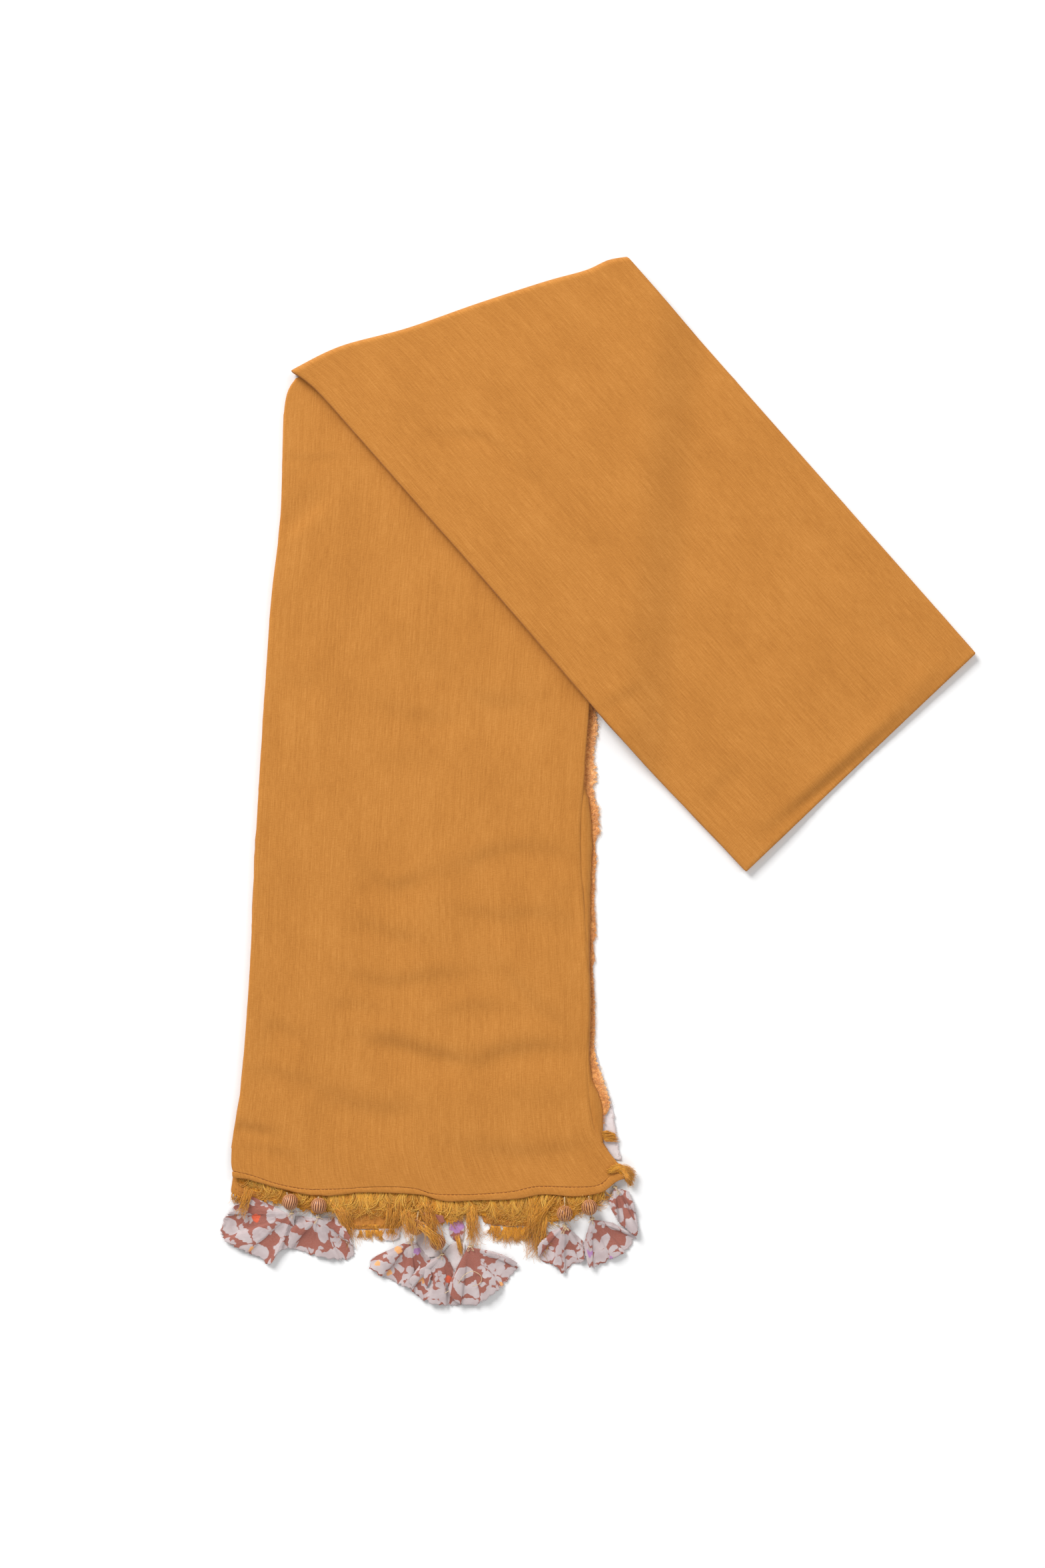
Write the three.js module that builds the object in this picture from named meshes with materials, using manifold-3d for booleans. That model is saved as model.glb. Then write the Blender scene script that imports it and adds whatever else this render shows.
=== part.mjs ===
// A cotton voile sarong with fringed, beaded and tasselled ends, folded small and laid flat.
// Millimetres, +Z up. The cloth lies on z = 0: its lower leg runs along Y, with the hemmed ends
// at -Y, and the upper leg crosses it from the slanting fold and runs off towards +X and -Y.
import * as THREE from "three";
import { mergeVertices } from "three/addons/utils/BufferGeometryUtils.js";
import Module from "manifold-3d";

const wasm = await Module();
wasm.setup();
const { lerp, smoothstep, degToRad } = THREE.MathUtils;

// Driving sizes
const gap = 0.3; // between pieces at a seam, and between layers
const wall = 1.2; // one ply of cloth, as a wall
const slack = 0.45; // between a leg's top ply and its hidden plies, as they slope and turn
const pile = 4.0; // the hidden plies of one leg, pressed flat
const legWidth = 200; // the cloth folded in four across
const underLength = 510;
const overLength = 420;
const edgeRoll = 0.7; // how far the top ply turns down at a folded edge
const rollStart = 0.9; // from the edge, where it has turned most
const rollWidth = 2.4; // and where it is level again
const foldRadius = 4.1; // inset of the slanting fold's turn from the outline
const foldSeam = 1.9; // the lower leg's plies end this much further in
const rampStart = 18; // past the lower leg's edge, where the upper leg starts to come down
const rampWidth = 38; // and the width over which it reaches the table
const hemDrop = 0.4; // the top ply sinks this much at its hem
const noseInset = 14; // the hidden plies end this far inside the stitched line
const pileInset = 1.6; // and this far inside a folded edge
const clearance = 0.1; // between a light piece and the table

const topPly = pile + gap + wall / 2; // middle of the ply on top of a leg
const crossing = pile + gap + wall + gap; // the upper leg's underside, on the lower leg

// Outline of each leg, as x, y rows
const stitchLine = [
  [-227.7, -242.5], [-216.4, -245.0], [-200.2, -250.4], [-182.2, -253.7], [-164.3, -253.7],
  [-134.3, -252.1], [-114.3, -253.3], [-102.6, -256.7], [-80.5, -257.1], [-54.6, -255.4],
  [-37.5, -252.1], [-14.2, -252.5], [0.4, -251.2], [7.5, -245.5], [15.5, -241.7],
];
const hemEdge = [
  [-227.7, -246.7], [-219.3, -247.6], [-200.2, -253.1], [-182.2, -257.0], [-166.5, -257.8],
  [-145.9, -255.9], [-113.0, -257.1], [-96.3, -261.3], [-77.1, -260.8], [-51.7, -260.0],
  [-34.6, -257.1], [-14.2, -258.3], [2.1, -255.8], [11.3, -249.2], [19.0, -246.5],
];
const underLeft = [
  [-227.7, -242.5], [-228.5, -236.6], [-227.3, -220.0], [-222.3, -188.7], [-216.8, -115.7],
  [-213.1, -36.1], [-206.4, 72.8], [-203.1, 117.8], [-197.7, 166.2], [-195.2, 233.7],
];
const underRight = [
  [15.5, -241.7], [10.0, -235.8], [2.1, -225.0], [-3.8, -211.6], [-6.7, -180.4],
  [-5.8, -136.6], [-7.9, -94.9], [-11.3, -36.5], [-8.8, 6.0], [-5.8, 46.9],
];
const slantFold = [
  [-191.4, 256.7], [-161.4, 271.3], [-119.7, 282.5], [-76.3, 297.5], [-33.4, 311.3],
  [-7.5, 318.4], [6.3, 324.6], [17.9, 326.7],
];
const overLeft = [
  [-191.4, 256.7], [-175.1, 244.2], [-145.5, 211.2], [-105.9, 166.2], [-68.0, 123.2],
  [-24.6, 72.8], [2.5, 41.1], [35.4, 4.8], [73.4, -34.8], [92.6, -55.3],
];
const overRight = [[17.9, 326.7], [235.2, 80.3]];
const overEnd = [[92.6, -55.3], [235.2, 80.3]];

// Main creases, each a soft trough from one point to the other
const underCreases = [
  { from: [-133, -164], to: [-78, -178], depth: 1.3, half: 9 },
  { from: [-78, -178], to: [-20, -170], depth: 1.1, half: 9 },
  { from: [-74, -99], to: [-16, -157], depth: 0.8, half: 8 },
  { from: [-158, -128], to: [-62, -124], depth: 0.7, half: 10 },
  { from: [-178, -193], to: [-116, -207], depth: 0.9, half: 10 },
  { from: [-116, 84], to: [-40, 47], depth: 0.7, half: 12 },
  { from: [-83, -84], to: [-16, -86], depth: 0.7, half: 9 },
];
const overCreases = [
  { from: [113, -27], to: [214, 66], depth: 1.2, half: 9 },
  { from: [165, 120], to: [200, 84], depth: 0.6, half: 9 },
  { from: [20, 190], to: [90, 110], depth: 0.6, half: 14 },
];

// Beads on their ties: where each tie leaves the hem, the bead's centre and the tassel's neck
const beadRadius = 5;
const boreRadius = 1.2;
const tieRadius = 0.7;
const ties = [
  { name: "tie_1", start: [-194.3, -256.2, 4.6], bead: [-192.2, -261.9], neck: [-191.2, -269.3] },
  { name: "tie_2", start: [-174.6, -258.8, 4.6], bead: [-174.3, -264.4], neck: [-174.6, -271.6] },
  { name: "tie_3", start: [-112.2, -268.0, 2.0], bead: [-113.8, -277.9], neck: [-116.3, -285.8] },
  { name: "tie_4", start: [-102.8, -269.5, 2.0], bead: [-100.1, -287.1], neck: [-97.2, -294.9] },
  { name: "tie_5", start: [-20.9, -259.2, 4.6], bead: [-20.8, -269.2], neck: [-20.8, -277.0] },
  { name: "tie_6", start: [-5.8, -258.5, 4.6], bead: [-5.4, -265.4], neck: [-3.6, -272.8] },
  { name: "tie_7", start: [-80.4, -271.2, 1.0], bead: null, neck: [-80.0, -290.2] },
  { name: "tie_8", start: [9.2, -251.6, 3.4], bead: null, neck: [10.6, -253.2] },
];

// Tassels: gathered scraps of printed chiffon, fanned out from the neck
const chiffonWall = 1.0;
const neckWidth = 2.6;
const tassels = [
  { name: "tassel_1", neck: [-191.4, -270.0], neckTop: 4.2, flutes: 4, rise: 3.0, edge: [
    [-213.5, -263.5], [-231.0, -271.0], [-234.3, -283.4], [-224.0, -291.7], [-212.0, -296.7],
    [-204.8, -300.3], [-198.4, -289.0]] },
  { name: "tassel_2", neck: [-174.8, -272.4], neckTop: 4.2, flutes: 4, rise: 3.2, edge: [
    [-187.6, -274.6], [-194.6, -288.6], [-185.0, -293.3], [-170.1, -296.7], [-156.8, -297.5],
    [-153.5, -294.2], [-162.5, -275.4]] },
  { name: "tassel_3", neck: [-116.8, -286.6], neckTop: 4.0, flutes: 3, rise: 3.4, edge: [
    [-140.9, -298.4], [-140.5, -304.2], [-130.9, -311.3], [-119.7, -315.9], [-115.4, -309.6],
    [-112.6, -302.4]] },
  { name: "tassel_4", neck: [-96.7, -295.7], neckTop: 4.0, flutes: 4, rise: 3.6, edge: [
    [-110.4, -304.6], [-115.2, -313.8], [-114.6, -319.2], [-105.5, -324.6], [-94.6, -326.7],
    [-91.6, -317.0], [-91.4, -306.0]] },
  { name: "tassel_5", neck: [-80.0, -291.0], neckTop: 2.2, flutes: 4, rise: 3.6, edge: [
    [-88.6, -316.4], [-86.2, -324.6], [-76.3, -325.9], [-65.1, -319.2], [-56.7, -311.7],
    [-51.0, -303.4], [-54.4, -300.4]] },
  { name: "tassel_6", neck: [-88.0, -271.0], neckTop: 0.5, flutes: 2, rise: 0.3, edge: [
    [-93.0, -277.5], [-92.0, -284.2], [-88.0, -287.2], [-84.6, -286.0], [-83.4, -278.0]] },
  { name: "tassel_7", neck: [-20.6, -277.8], neckTop: 4.2, flutes: 4, rise: 3.2, edge: [
    [-32.5, -282.6], [-37.5, -291.0], [-35.9, -297.6], [-27.5, -302.1], [-21.7, -306.3],
    [-16.7, -301.7], [-11.8, -297.8], [-13.4, -286.0]] },
  { name: "tassel_8", neck: [-3.2, -273.6], neckTop: 4.2, flutes: 4, rise: 3.2, edge: [
    [-8.8, -289.0], [-6.7, -299.6], [-2.5, -303.4], [5.0, -298.8], [14.2, -295.4],
    [21.7, -287.6], [22.6, -283.4], [9.2, -275.6]] },
  { name: "tassel_9", neck: [11.6, -254.3], neckTop: 2.6, flutes: 3, rise: 3.0, edge: [
    [7.4, -262.5], [10.6, -269.0], [17.0, -274.4], [24.2, -279.0], [23.4, -270.6],
    [20.0, -259.0]] },
];

// Fringe: strands along a hem, as long as the beads and tassels beside them let them be
const strandRadius = 0.45;
const stripWidth = 1.6;
const stripThickness = 0.7;
const fringes = [
  { name: "fringe_top", edge: "top", inset: 2.4, from: 0.01, to: 0.94,
    strands: 62, length: 20, z: 3.05, endZ: 1.95 },
  { name: "fringe_low_left", edge: "third", inset: -1.4, from: 0.16, to: 0.29,
    strands: 9, length: 11, z: 0.7, endZ: 0.6 },
  { name: "fringe_low_right", edge: "third", inset: -1.4, from: 0.71, to: 0.85,
    strands: 10, length: 14, z: 0.7, endZ: 0.6 },
];

// A smooth plane curve through x, y rows.
function curve(rows) {
  return new THREE.SplineCurve(rows.map(([x, y]) => new THREE.Vector2(x, y)));
}

// Rows along a curve, from one share of its length to another, moved to the left of its direction.
function beside(rows, distance, from = 0, to = 1, count = 24) {
  const line = curve(rows);
  return Array.from({ length: count + 1 }, (_, i) => {
    const share = lerp(from, to, i / count);
    const point = line.getPointAt(share);
    const along = line.getTangentAt(share);
    return [point.x - along.y * distance, point.y + along.x * distance];
  });
}

// The plane patch between four edges that meet at its corners: u runs from west to east and
// v from south to north.
function patch({ west, east, south, north }) {
  const [w, e, s, n] = [west, east, south, north].map(curve);
  const corner = (u, v) => (v ? n : s).getPointAt(u);
  return (u, v) => {
    const point = s.getPointAt(u).multiplyScalar(1 - v).addScaledVector(n.getPointAt(u), v);
    point.addScaledVector(w.getPointAt(v), 1 - u).addScaledVector(e.getPointAt(v), u);
    point.addScaledVector(corner(0, 0), -(1 - u) * (1 - v)).addScaledVector(corner(1, 0), -u * (1 - v));
    return point.addScaledVector(corner(0, 1), -(1 - u) * v).addScaledVector(corner(1, 1), -u * v);
  };
}

// Stations from 0 to 1: even steps in each stretch, and two just inside each end, where a ply
// turns down.
function stations(stretches, span) {
  const close = [rollStart, rollWidth].map((inset) => inset / span);
  const steps = [0, ...close];
  let from = 0;
  for (const { to, count } of stretches) {
    for (let i = 1; i <= count; i++) steps.push(lerp(from, to, i / count));
    from = to;
  }
  steps.pop();
  return [...steps, ...close.reverse().map((inset) => 1 - inset), 1];
}

// The stations between two limits, with the limits.
function within(steps, low, high) {
  return [low, ...steps.filter((step) => step > low && step < high), high];
}

// A geometry from points and faces, turned to face out.
function closed(points, faces) {
  let volume = 0;
  for (const [a, b, c] of faces)
    volume += points[a].dot(points[b].clone().cross(points[c]));
  const order = faces.map(([a, b, c]) => (volume < 0 ? [a, c, b] : [a, b, c]));
  const geometry = new THREE.BufferGeometry().setFromPoints(points);
  return geometry.setIndex(order.flat());
}

// A closed shell between a lower and an upper grid of points, with loops round its side between
// them: each loop lies outside the edge by "out" and at the share "rise" of the height. A flat
// underside is one face.
function shell(low, high, loops, flat = false) {
  const m = low.length - 1;
  const n = low[0].length - 1;
  const points = [...low.flat(), ...high.flat()];
  const faces = [];
  const at = (layer, i, j) => (layer * (m + 1) + i) * (n + 1) + j;
  for (let i = 0; i < m; i++)
    for (let j = 0; j < n; j++)
      for (const layer of flat ? [1] : [0, 1]) {
        const [a, b] = [at(layer, i, j), at(layer, i + 1, j)];
        const [c, d] = [at(layer, i + 1, j + 1), at(layer, i, j + 1)];
        faces.push(...(layer ? [[a, b, c], [a, c, d]] : [[a, c, b], [a, d, c]]));
      }
  const round = [];
  for (let i = 0; i < m; i++) round.push([i, 0, i, 1]);
  for (let j = 0; j < n; j++) round.push([m, j, m - 1, j]);
  for (let i = m; i > 0; i--) round.push([i, n, i, n - 1]);
  for (let j = n; j > 0; j--) round.push([0, j, 1, j]);
  const rings = [round.map(([i, j]) => at(0, i, j))];
  for (const { out, rise } of loops) {
    const first = points.length;
    for (const [i, j, insideI, insideJ] of round) {
      const outward = low[i][j].clone().sub(low[insideI][insideJ]);
      if ((i === 0 || i === m) && (j === 0 || j === n))
        outward.normalize().add(low[i][j].clone().sub(low[i ? m - 1 : 1][j]).normalize());
      points.push(low[i][j].clone().lerp(high[i][j], rise).addScaledVector(outward.normalize(), out));
    }
    rings.push(round.map((_, k) => first + k));
  }
  rings.push(round.map(([i, j]) => at(1, i, j)));
  if (flat) {
    const contour = rings[0].map((k) => new THREE.Vector2(points[k].x, points[k].y));
    const upwards = THREE.ShapeUtils.area(contour) > 0;
    for (const [a, b, c] of THREE.ShapeUtils.triangulateShape(contour, []))
      faces.push((upwards ? [a, c, b] : [a, b, c]).map((k) => rings[0][k]));
  }
  for (let k = 0; k + 1 < rings.length; k++)
    for (let r = 0; r < round.length; r++) {
      const next = (r + 1) % round.length;
      const [a, b, c, d] = [rings[k][r], rings[k][next], rings[k + 1][next], rings[k + 1][r]];
      faces.push([a, b, c], [a, c, d]);
    }
  return closed(points, faces);
}

// A sheet of the given wall round a grid of middle points, with a rounded edge.
function sheet(middle, thickness) {
  const m = middle.length - 1;
  const n = middle[0].length - 1;
  const offset = (side) => middle.map((row, i) => row.map((point, j) => {
    const across = middle[Math.min(i + 1, m)][j].clone().sub(middle[Math.max(i - 1, 0)][j]);
    const along = middle[i][Math.min(j + 1, n)].clone().sub(middle[i][Math.max(j - 1, 0)]);
    return point.clone().addScaledVector(across.cross(along).normalize(), side * thickness / 2);
  }));
  return shell(offset(-1), offset(1), [{ out: 0.25 * thickness, rise: 0.5 }]);
}

// A grid of points over two lists of stations.
function grid(us, vs, point) {
  return us.map((u) => vs.map((v) => point(u, v)));
}

// The distance in the plan from a point to a line between two others.
function distanceToLine(x, y, from, to) {
  const line = new THREE.Line3(new THREE.Vector3(from[0], from[1]), new THREE.Vector3(to[0], to[1]));
  const here = new THREE.Vector3(x, y);
  return line.closestPointToPoint(here, true, new THREE.Vector3()).distanceTo(here);
}

// How deep the creases are at a point.
function creaseDepth(creases, x, y) {
  const depths = creases.map(({ from, to, depth, half }) =>
    depth * Math.exp(-((distanceToLine(x, y, from, to) / half) ** 2)));
  return Math.max(...depths);
}

// How far a ply has turned down, at a distance from the nearest folded edge.
function turnDown(distance) {
  return edgeRoll * (1 - smoothstep(distance, 0, rollWidth));
}

// The lower leg: its plan, and the middle height of its top ply
const underSteps = {
  across: stations([{ to: 1, count: 12 }], legWidth),
  along: stations([{ to: 0.48, count: 16 }, { to: 1, count: 6 }], underLength),
};
const underNorth = beside(slantFold, -(foldRadius + foldSeam));
const underPlan = patch({
  west: [...underLeft, underNorth[0]],
  east: [...underRight, underNorth.at(-1)],
  south: stitchLine,
  north: underNorth,
});

function underHeight(u, v) {
  const { x, y } = underPlan(u, v);
  const edge = Math.min(u, 1 - u) * legWidth;
  const atHem = 1 - smoothstep(v * underLength, 0, 3 * noseInset);
  return topPly - creaseDepth(underCreases, x, y) - turnDown(edge) - hemDrop * atHem;
}

// The upper leg: it lies on the lower leg, and on the table beyond it
const overSteps = {
  across: stations([{ to: 1, count: 11 }], legWidth),
  along: stations([{ to: 0.86, count: 11 }, { to: 1, count: 4 }], overLength),
};
const overPlan = patch({ west: overLeft, east: overRight, south: slantFold, north: overEnd });

function overBase(x, y) {
  const [low, high] = [underRight.at(-1), slantFold.at(-1)];
  const legEdge = lerp(low[0], high[0], (y - low[1]) / (high[1] - low[1]));
  return crossing * (1 - smoothstep(x, legEdge + rampStart, legEdge + rampStart + rampWidth));
}

function overHeight(u, v) {
  const { x, y } = overPlan(u, v);
  const edge = Math.min(Math.min(u, 1 - u) * legWidth, (1 - v) * overLength);
  return overBase(x, y) + topPly - creaseDepth(overCreases, x, y) - turnDown(edge);
}

// The side of a pile of folded plies: rounded layers, one above the other
const layers = { count: 3, bulge: 1.0, groove: 0.35, top: 0.92 };
const layerLoops = [];
for (let k = 0; k < layers.count; k++) {
  const share = layers.top / layers.count;
  layerLoops.push({ out: layers.bulge, rise: (k + 0.5) * share });
  layerLoops.push({ out: layers.groove, rise: (k + 1) * share });
}

// The hidden plies of a leg, as one solid from a base up to its top ply.
function hiddenPlies(plan, height, base, us, vs) {
  const point = (u, v, z) => {
    const { x, y } = plan(u, v);
    return new THREE.Vector3(x, y, z(x, y));
  };
  const low = grid(us, vs, (u, v) => point(u, v, base));
  const high = grid(us, vs, (u, v) => point(u, v, () => height(u, v) - wall / 2 - slack));
  return shell(low, high, layerLoops, plan === underPlan);
}

function underLegFolds() {
  const side = pileInset / legWidth;
  const us = within(underSteps.across, side, 1 - side);
  const vs = within(underSteps.along, noseInset / underLength, 1);
  return hiddenPlies(underPlan, underHeight, () => 0, us, vs);
}

function underLegCloth() {
  const middle = grid(underSteps.across, underSteps.along, (u, v) => {
    const { x, y } = underPlan(u, v);
    return new THREE.Vector3(x, y, underHeight(u, v));
  });
  return sheet(middle, wall);
}

function overLegFolds() {
  const side = pileInset / legWidth;
  const us = within(overSteps.across, side, 1 - side);
  const vs = within(overSteps.along, (foldRadius + wall) / overLength, 1 - pileInset / overLength);
  return hiddenPlies(overPlan, overHeight, overBase, us, vs);
}

// The top ply comes up round the slanting fold from the table, in half an ellipse, and runs on.
function overLegCloth() {
  const turn = foldRadius / overLength;
  const turnSteps = 7;
  const middle = overSteps.across.map((u) => {
    const inside = overPlan(u, turn);
    const outward = overPlan(u, 0).sub(inside).normalize();
    const top = overHeight(u, turn);
    const row = [];
    for (let k = 0; k < turnSteps; k++) {
      const angle = degToRad(-90 + 180 * k / turnSteps);
      const reach = (foldRadius - wall / 2) * Math.cos(angle);
      const z = lerp(wall / 2, top, 0.5 + 0.5 * Math.sin(angle));
      row.push(new THREE.Vector3(inside.x + outward.x * reach, inside.y + outward.y * reach, z));
    }
    for (const v of within(overSteps.along, turn, 1)) {
      const { x, y } = overPlan(u, v);
      row.push(new THREE.Vector3(x, y, overHeight(u, v)));
    }
    return row;
  });
  return sheet(middle, wall);
}

// Even shares from 0 to 1.
function even(count) {
  return Array.from({ length: count + 1 }, (_, i) => i / count);
}

// A band between two edge curves, of a thickness, on a bottom height that may change along X.
function band(lower, upper, thickness, bottom, shares, rounded = true) {
  const loops = rounded ? [{ out: 0.25 * thickness, rise: 0.5 }] : [];
  const point = (u, v, raise) => {
    const p = lower.getPointAt(u).lerp(upper.getPointAt(u), v);
    return new THREE.Vector3(p.x, p.y, bottom(p.x) + raise);
  };
  const low = grid(shares, [0, 1], (u, v) => point(u, v, 0));
  const high = grid(shares, [0, 1], (u, v) => point(u, v, thickness));
  return shell(low, high, loops);
}

// An edge as the straight runs that a sheet makes of it between its stations, moved along Y.
function chords(rows, steps, shift) {
  const line = curve(rows);
  const points = steps.map((step) => line.getPointAt(step).add(new THREE.Vector2(0, shift)));
  return {
    getPointAt(share) {
      const k = Math.min(steps.findLastIndex((step) => step <= share), steps.length - 2);
      return points[k].clone().lerp(points[k + 1], (share - steps[k]) / (steps[k + 1] - steps[k]));
    },
  };
}

// The three hems at the end, one below the other
const hemThickness = 1.4; // the top hem, turned twice
const lowHem = 1.0; // the other two, pressed flat
const hemSeam = 1.1; // between the edge of the top ply and its hem, which both bulge a little
const hemTuck = 8; // how far the second hem goes in under the stitched line
const topHemBottom = topPly - hemDrop - hemThickness / 2;
const secondHemEdge = [
  [-229.2, -256.5], [-222.3, -260.0], [-207.7, -261.2], [-200.2, -258.3], [-195.2, -252.9],
  [-166.0, -254.1], [-140.9, -253.3], [-107.6, -255.0], [-82.6, -258.3], [-53.4, -262.5],
  [-40.9, -260.8], [-26.3, -260.8], [-12.5, -260.8], [-1.3, -257.5],
];
const thirdHemEdge = [
  [-166.8, -261.7], [-155.1, -277.5], [-140.9, -279.2], [-124.3, -278.4], [-119.3, -271.7],
  [-99.2, -270.0], [-74.2, -270.9], [-69.2, -275.9], [-40.9, -276.7], [-35.9, -268.0],
  [-28.4, -260.5],
];
const thirdHemTop = [[-166.8, -248.0], [-28.4, -248.0]];

// The second hem lies on the table at its left end, and on the third hem from there on.
function secondHemBottom(x) {
  return lerp(clearance, lowHem + gap, smoothstep(x, -185, -170));
}

function topHem() {
  const steps = underSteps.across;
  const shares = steps.flatMap((step, i) => (i ? [(steps[i - 1] + step) / 2, step] : [step]));
  const upper = chords(stitchLine, steps, -hemSeam);
  return band(curve(hemEdge), upper, hemThickness, () => topHemBottom, shares);
}

function secondHem() {
  const upper = curve(beside(stitchLine, hemTuck, 0, 0.9));
  return band(curve(secondHemEdge), upper, lowHem, secondHemBottom, even(26));
}

function thirdHem() {
  return band(curve(thirdHemEdge), curve(thirdHemTop), lowHem, () => 0, even(24));
}

const tasselOutlines = tassels.map(({ neck, edge }) => [
  [neck[0] - neckWidth / 2, neck[1]], ...curve(edge).getPoints(24).map((p) => [p.x, p.y]),
  [neck[0] + neckWidth / 2, neck[1]],
]);

// Whether a point in the plan is clear of the beads, ties and tassels.
function isClear(x, y) {
  const margin = strandRadius + 2 * gap;
  for (const { start, bead, neck } of ties) {
    if (bead && Math.hypot(x - bead[0], y - bead[1]) < beadRadius + margin) return false;
    if (distanceToLine(x, y, start, neck) < tieRadius + margin) return false;
  }
  return tasselOutlines.every((outline) => {
    let inside = false;
    let nearest = Infinity;
    outline.forEach((a, i) => {
      const b = outline[(i + 1) % outline.length];
      const crosses = (a[1] > y) !== (b[1] > y);
      if (crosses && x < lerp(a[0], b[0], (y - a[1]) / (b[1] - a[1]))) inside = !inside;
      nearest = Math.min(nearest, distanceToLine(x, y, a, b));
    });
    return !inside && nearest > margin;
  });
}

// A strand of three sides through points, closed by a flat root and a pointed tip.
const strandTaper = 0.45; // of its radius, from root to tip

function strand(path) {
  const points = [];
  const faces = [[0, 1, 2]];
  const last = path.length - 1;
  for (let k = 0; k < last; k++) {
    const along = path[k + 1].clone().sub(path[Math.max(k - 1, 0)]).normalize();
    const side = new THREE.Vector3(0, 0, 1).cross(along).normalize();
    const up = along.clone().cross(side);
    const r = strandRadius * (1 - strandTaper * k / last);
    for (let s = 0; s < 3; s++) {
      const angle = degToRad(90 + 120 * s);
      const corner = path[k].clone().addScaledVector(side, r * Math.cos(angle));
      points.push(corner.addScaledVector(up, r * Math.sin(angle)));
    }
    for (let s = 0; s < 3 && k < last - 1; s++) {
      const [a, b] = [3 * k + s, 3 * k + (s + 1) % 3];
      faces.push([a, a + 3, b], [b, a + 3, b + 3]);
    }
  }
  points.push(path[last].clone());
  const tip = points.length - 1;
  for (let s = 0; s < 3; s++) faces.push([tip - 3 + s, tip, tip - 3 + (s + 1) % 3]);
  return closed(points, faces);
}

// The union of closed geometries, as one geometry.
function fused(geometries) {
  let whole = null;
  for (const geometry of geometries) {
    const merged = mergeVertices(geometry, 1e-4);
    const body = new wasm.Manifold(new wasm.Mesh({
      numProp: 3,
      vertProperties: new Float32Array(merged.attributes.position.array),
      triVerts: new Uint32Array(merged.index.array),
    }));
    whole = whole ? whole.add(body) : body;
  }
  const { vertProperties, triVerts } = whole.getMesh();
  const geometry = new THREE.BufferGeometry();
  geometry.setAttribute("position", new THREE.BufferAttribute(vertProperties, 3));
  return geometry.setIndex(new THREE.BufferAttribute(triVerts, 1));
}

// The longest clear strand from a root, up to a length; null if even a short one isn't clear. It
// stays level over the hem below, and then sinks.
function clearStrand(root, direction, length, startZ, endZ) {
  const shortest = 4;
  const level = 7.5;
  const sunk = 14;
  const at = (distance) => root.clone().addScaledVector(direction, distance);
  let reach = 0;
  while (reach < length && isClear(...at(reach + 1))) reach += 1;
  if (reach < shortest) return null;
  return strand([0, 0.4, 0.7, 1].map((share) => {
    const { x, y } = at(reach * share);
    return new THREE.Vector3(x, y, lerp(startZ, endZ, smoothstep(reach * share, level, sunk)));
  }));
}

// The strip that strands hang from: a band along an edge, at a distance to its left.
function strip(rows, distance, from, to, z, count) {
  const edges = [-0.5, 0.5].map((side) => curve(beside(rows, distance + side * stripWidth, from, to)));
  return band(...edges, stripThickness, () => z - stripThickness / 2, even(count), false);
}

// A strip along a hem, and the strands that hang from it, as one piece.
const hemEdges = { top: hemEdge, third: thirdHemEdge };
const downwards = -90; // heading of a hanging strand, in degrees from +X

function fringe({ edge, inset, from, to, strands, length, z, endZ }) {
  const pieces = [strip(hemEdges[edge], inset, from, to, z, Math.ceil(strands / 2))];
  const line = curve(beside(hemEdges[edge], inset, from, to));
  for (let i = 0; i < strands; i++) {
    const root = line.getPointAt((i + 0.5) / strands);
    const lean = degToRad(downwards + 9 * Math.sin(i * 0.55) + 5 * Math.sin(i * 0.21 + 1));
    const direction = new THREE.Vector2(Math.cos(lean), Math.sin(lean));
    const reach = length * (0.86 + 0.14 * Math.sin(i * 1.7));
    const made = clearStrand(root, direction, reach, z, endZ);
    if (made) pieces.push(made);
  }
  return fused(pieces);
}

// Frayed edges beside the lower leg: a strip of loose threads that stand out from it
const frays = [
  { name: "side_fray", from: 0.31, to: 0.985, offset: -0.7, z: 0.9,
    strands: 34, length: 7, heading: 0 },
  { name: "corner_fray", from: 0.012, to: 0.05, offset: -1.6, z: 4.2,
    strands: 6, length: 6, heading: -35 },
];
const frayDroop = 0.3;

function fray({ from, to, offset, z, strands, length, heading }) {
  const pieces = [strip(underRight, offset, from, to, z, strands)];
  const line = curve(beside(underRight, offset, from, to));
  for (let i = 0; i < strands; i++) {
    const start = line.getPointAt((i + 0.5) / strands);
    const lean = degToRad(heading + 14 * Math.sin(i * 1.3));
    const reach = length * (0.75 + 0.25 * Math.sin(i * 2.1));
    pieces.push(strand([0, 0.5, 1].map((share) => new THREE.Vector3(
      start.x + Math.cos(lean) * reach * share,
      start.y + Math.sin(lean) * reach * share,
      z - frayDroop * share,
    ))));
  }
  return fused(pieces);
}

// A sheer strip beside the lower leg, along the stretch next to its hems
const gauzeThickness = 1.0;
const gauzeOuter = [
  [14.4, -236.6], [12.3, -226.0], [10.8, -215.0], [7.9, -199.1], [2.9, -186.6], [-1.6, -166.0],
];

function sideGauze() {
  const inner = curve(beside(underRight, -0.5, 0.03, 0.295));
  return band(inner, curve(gauzeOuter), gauzeThickness, () => clearance, even(16));
}

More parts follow.
